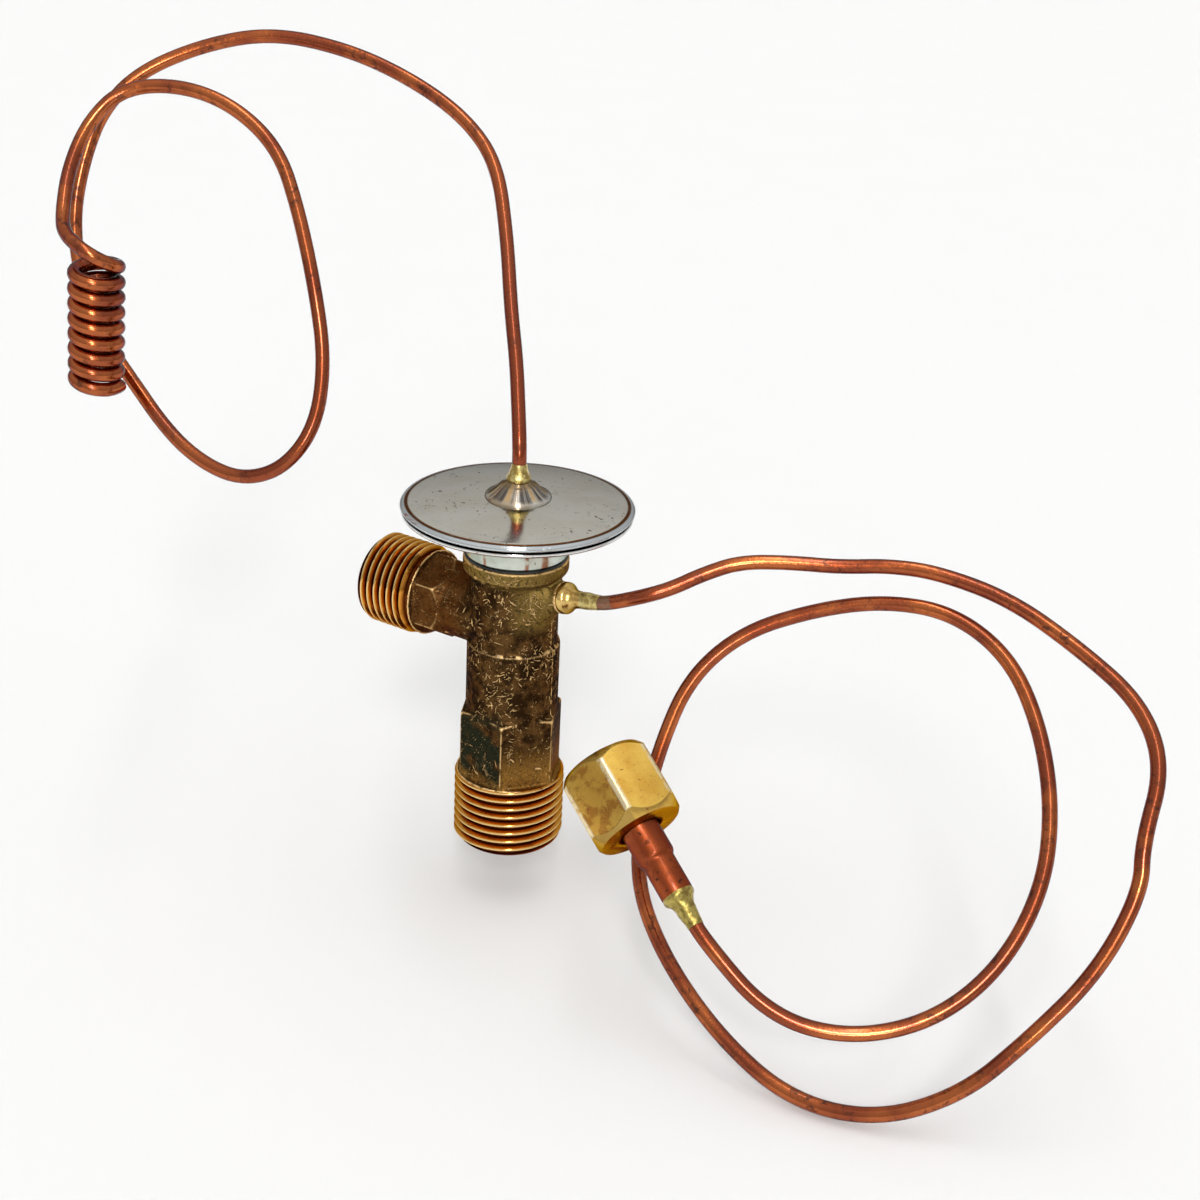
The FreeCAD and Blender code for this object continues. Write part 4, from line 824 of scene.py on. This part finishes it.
# Flare stub, its braze, and the loose nut
stubOutline = [(3.8, 0.6), (4.6, 0.9), (4.45, 1.15)] + bowed((4.45, 1.15), (3.05, 2.6), -0.1, 4)
stubOutline += [(3.05, 10.9)] + bowed((3.05, 10.9), (2.62, 11.75), 0.08, 5)
stubOutline += [(2.6, 12.1), (2.6, 17.6), (2.5, 17.8), (1.25, 17.8), (1.25, 12.2), (2.25, 10.4), (2.25, 2.1)]
stub = turned("flaredStub", stubOutline, 96, ring=True)
dress(smooth(putAt(stub, nutPlace), 40), "stubCopper", "valve", "copper", "flare_stub")

stubBrazeOutline = [(1.21, 17.75), (2.55, 17.75)] + bowed((2.55, 17.75), (2.3, 18.7), 0.16, 4)
stubBrazeOutline += bowed((2.3, 18.7), (1.6, 20.6), -0.22, 7)
stubBrazeOutline += bowed((1.6, 20.6), (1.3, 23.3), -0.06, 6) + [(1.21, 23.4)]
stubBraze = putAt(turned("stubBrazeCone", stubBrazeOutline, 64, ring=True), nutPlace)
dress(smooth(uneven(stubBraze, 1.5, 0.2), 60), "stubBraze", "valve", "braze", "stub_braze")

nut = {"corner": 8.25, "half": 6.25, "turn": 4, "face": 6.7, "chamfer": 2.42, "extra": 0.3, "edge": 0.42,
       "rim": 0.08, "bore": [(5.75, -6.4), (5.5, -6.05), (5.5, 0.15), (5.5, 1.05), (3.4, 2.9), (3.4, 6.5)]}
clearSelection()
bpy.ops.mesh.primitive_cylinder_add(vertices=6, radius=nut["corner"] * mm, depth=(nut["half"] * 2 + 1) * mm)
hexNut = bpy.context.object
hexNut.name = "flareNut"
putAt(hexNut, Matrix.Rotation(math.radians(nut["turn"]), 4, "Z"))
applied(hexNut, "BEVEL", width=nut["edge"] * mm, segments=3, limit_method="ANGLE")
wide, chamferEnd = nut["corner"] + nut["extra"], nut["half"] - nut["chamfer"]
blankOutline = [(nut["face"], -nut["half"]), (wide, -chamferEnd),
                (wide, chamferEnd), (nut["face"], nut["half"])]
cut(hexNut, turned("nutBlank", blankOutline, 160), "INTERSECT")
cut(hexNut, turned("nutBoreCutter", nut["bore"], 128))
applied(hexNut, "BEVEL", width=nut["rim"] * mm, segments=2, limit_method="ANGLE", angle_limit=math.radians(28))
dress(smooth(putAt(hexNut, nutPlace), 30), "nutBrass", "tube_nut", "turned_brass", "flare_nut")
print("stub and nut made")

# The pieces inside keep their shape, with better finishes
innerFinishes = {
    "diaphragm": "stainless", "diaphragm_pad": "turnedBrass", "push_rod": "springSteel", "rod_seal": "gasket",
    "seal_retainer": "stainless", "valve_ball": "springSteel", "ball_carrier": "turnedBrass",
    "superheat_spring": "springSteel", "adjusting_nut": "turnedBrass", "strainer_ring": "turnedBrass",
    "strainer_screen": "stainless",
}
for node, finish in innerFinishes.items():
    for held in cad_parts[node].material_slots:
        held.material = finishes[finish]

# Camera, as fitted to the photograph
camera = {"place": (166.345, -235.809, 169.172), "right": (0.83188, 0.55290, 0.04773),
          "up": (-0.26432, 0.31913, 0.91010), "forward": (-0.48796, 0.76972, -0.41162), "lens": 56.70}
lens = bpy.data.cameras.new("camera")
lens.lens = camera["lens"]
lens.sensor_width = 36  # as in a full-frame camera
viewer = bpy.data.objects.new("camera", lens)
bpy.context.scene.collection.objects.link(viewer)
columns = [Vector(camera["right"]), Vector(camera["up"]), -Vector(camera["forward"])]
viewer.matrix_world = Matrix.Translation(Vector(camera["place"]) * mm) @ Matrix(columns).transposed().to_4x4()
bpy.context.scene.camera = viewer

# Light: a soft lamp above and a weak one below the camera's side, a pale world that darkens towards its
# horizon, with an upright strip of light on that side, and a pale floor
light = {"azimuth": 35, "elevation": 38, "strength": 0.76, "spread": 12,
         "lowElevation": 14, "lowStrength": 0.4, "lowSpread": 8}
sky = {"horizon": 0.42, "behind": 0.58, "above": 0.70, "overhead": 0.92, "level": 0.92,
       "heights": (0.0, 0.03, 0.15, 0.75, 0.9), "strip": 8.0, "stripWidth": 0.055,
       "stripFoot": (0.3, 0.4), "stripSide": (-0.3, -0.2)}


def addLamp(name, elevation, strength, spread):
    lamp = bpy.data.lights.new(name, "SUN")
    lamp.energy = strength
    lamp.angle = math.radians(spread)
    holder = bpy.data.objects.new(name, lamp)
    holder.rotation_euler = (math.radians(90 - elevation), 0, math.radians(light["azimuth"]))
    bpy.context.scene.collection.objects.link(holder)


addLamp("studioLamp", light["elevation"], light["strength"], light["spread"])
addLamp("lowLamp", light["lowElevation"], light["lowStrength"], light["lowSpread"])

world = bpy.data.worlds.new("paleWorld")
bpy.context.scene.world = world
world.use_nodes = True
world.node_tree.nodes.clear()
start = Signal(world.node_tree)
east, north, height = axes(start.node("ShaderNodeTexCoord", output=0))
levels = [sky[name] for name in ("horizon", "horizon", "behind", "above", "overhead")]
glow = height.stops(*[(share, (level,) * 3) for share, level in zip(sky["heights"], levels)])
towards = math.radians(light["azimuth"])
aside = east * math.cos(towards) + north * math.sin(towards)
before = east * math.sin(towards) - north * math.cos(towards)
strip = aside.within(0.0, sky["stripWidth"], sky["stripWidth"] * 0.6)
strip = strip * before.between(*sky["stripSide"]) * height.between(*sky["stripFoot"])
strength = (strip * sky["strip"] + 1.0) * sky["level"]
glowing = start.node("ShaderNodeBackground", None, {"Color": glow, "Strength": strength})
start.node("ShaderNodeOutputWorld", None, {"Surface": glowing})

floorLook = {"height": -17.8, "size": 4.0, "light": (0.93, 0.93, 0.925), "dark": (0.915, 0.915, 0.91)}
clearSelection()
bpy.ops.mesh.primitive_plane_add(size=floorLook["size"], location=(0, 0, floorLook["height"] * mm))
floor = bpy.context.object
floor.name = "paleFloor"
material, start = newFinish("paleFloor")
grain = noise(place(start), 0.02, 3)
complete(start, material, grain.mix(floorLook["light"], floorLook["dark"]), 0.85, 0.0)
floor.data.materials.append(material)

bpy.context.scene.view_settings.view_transform = "Standard"
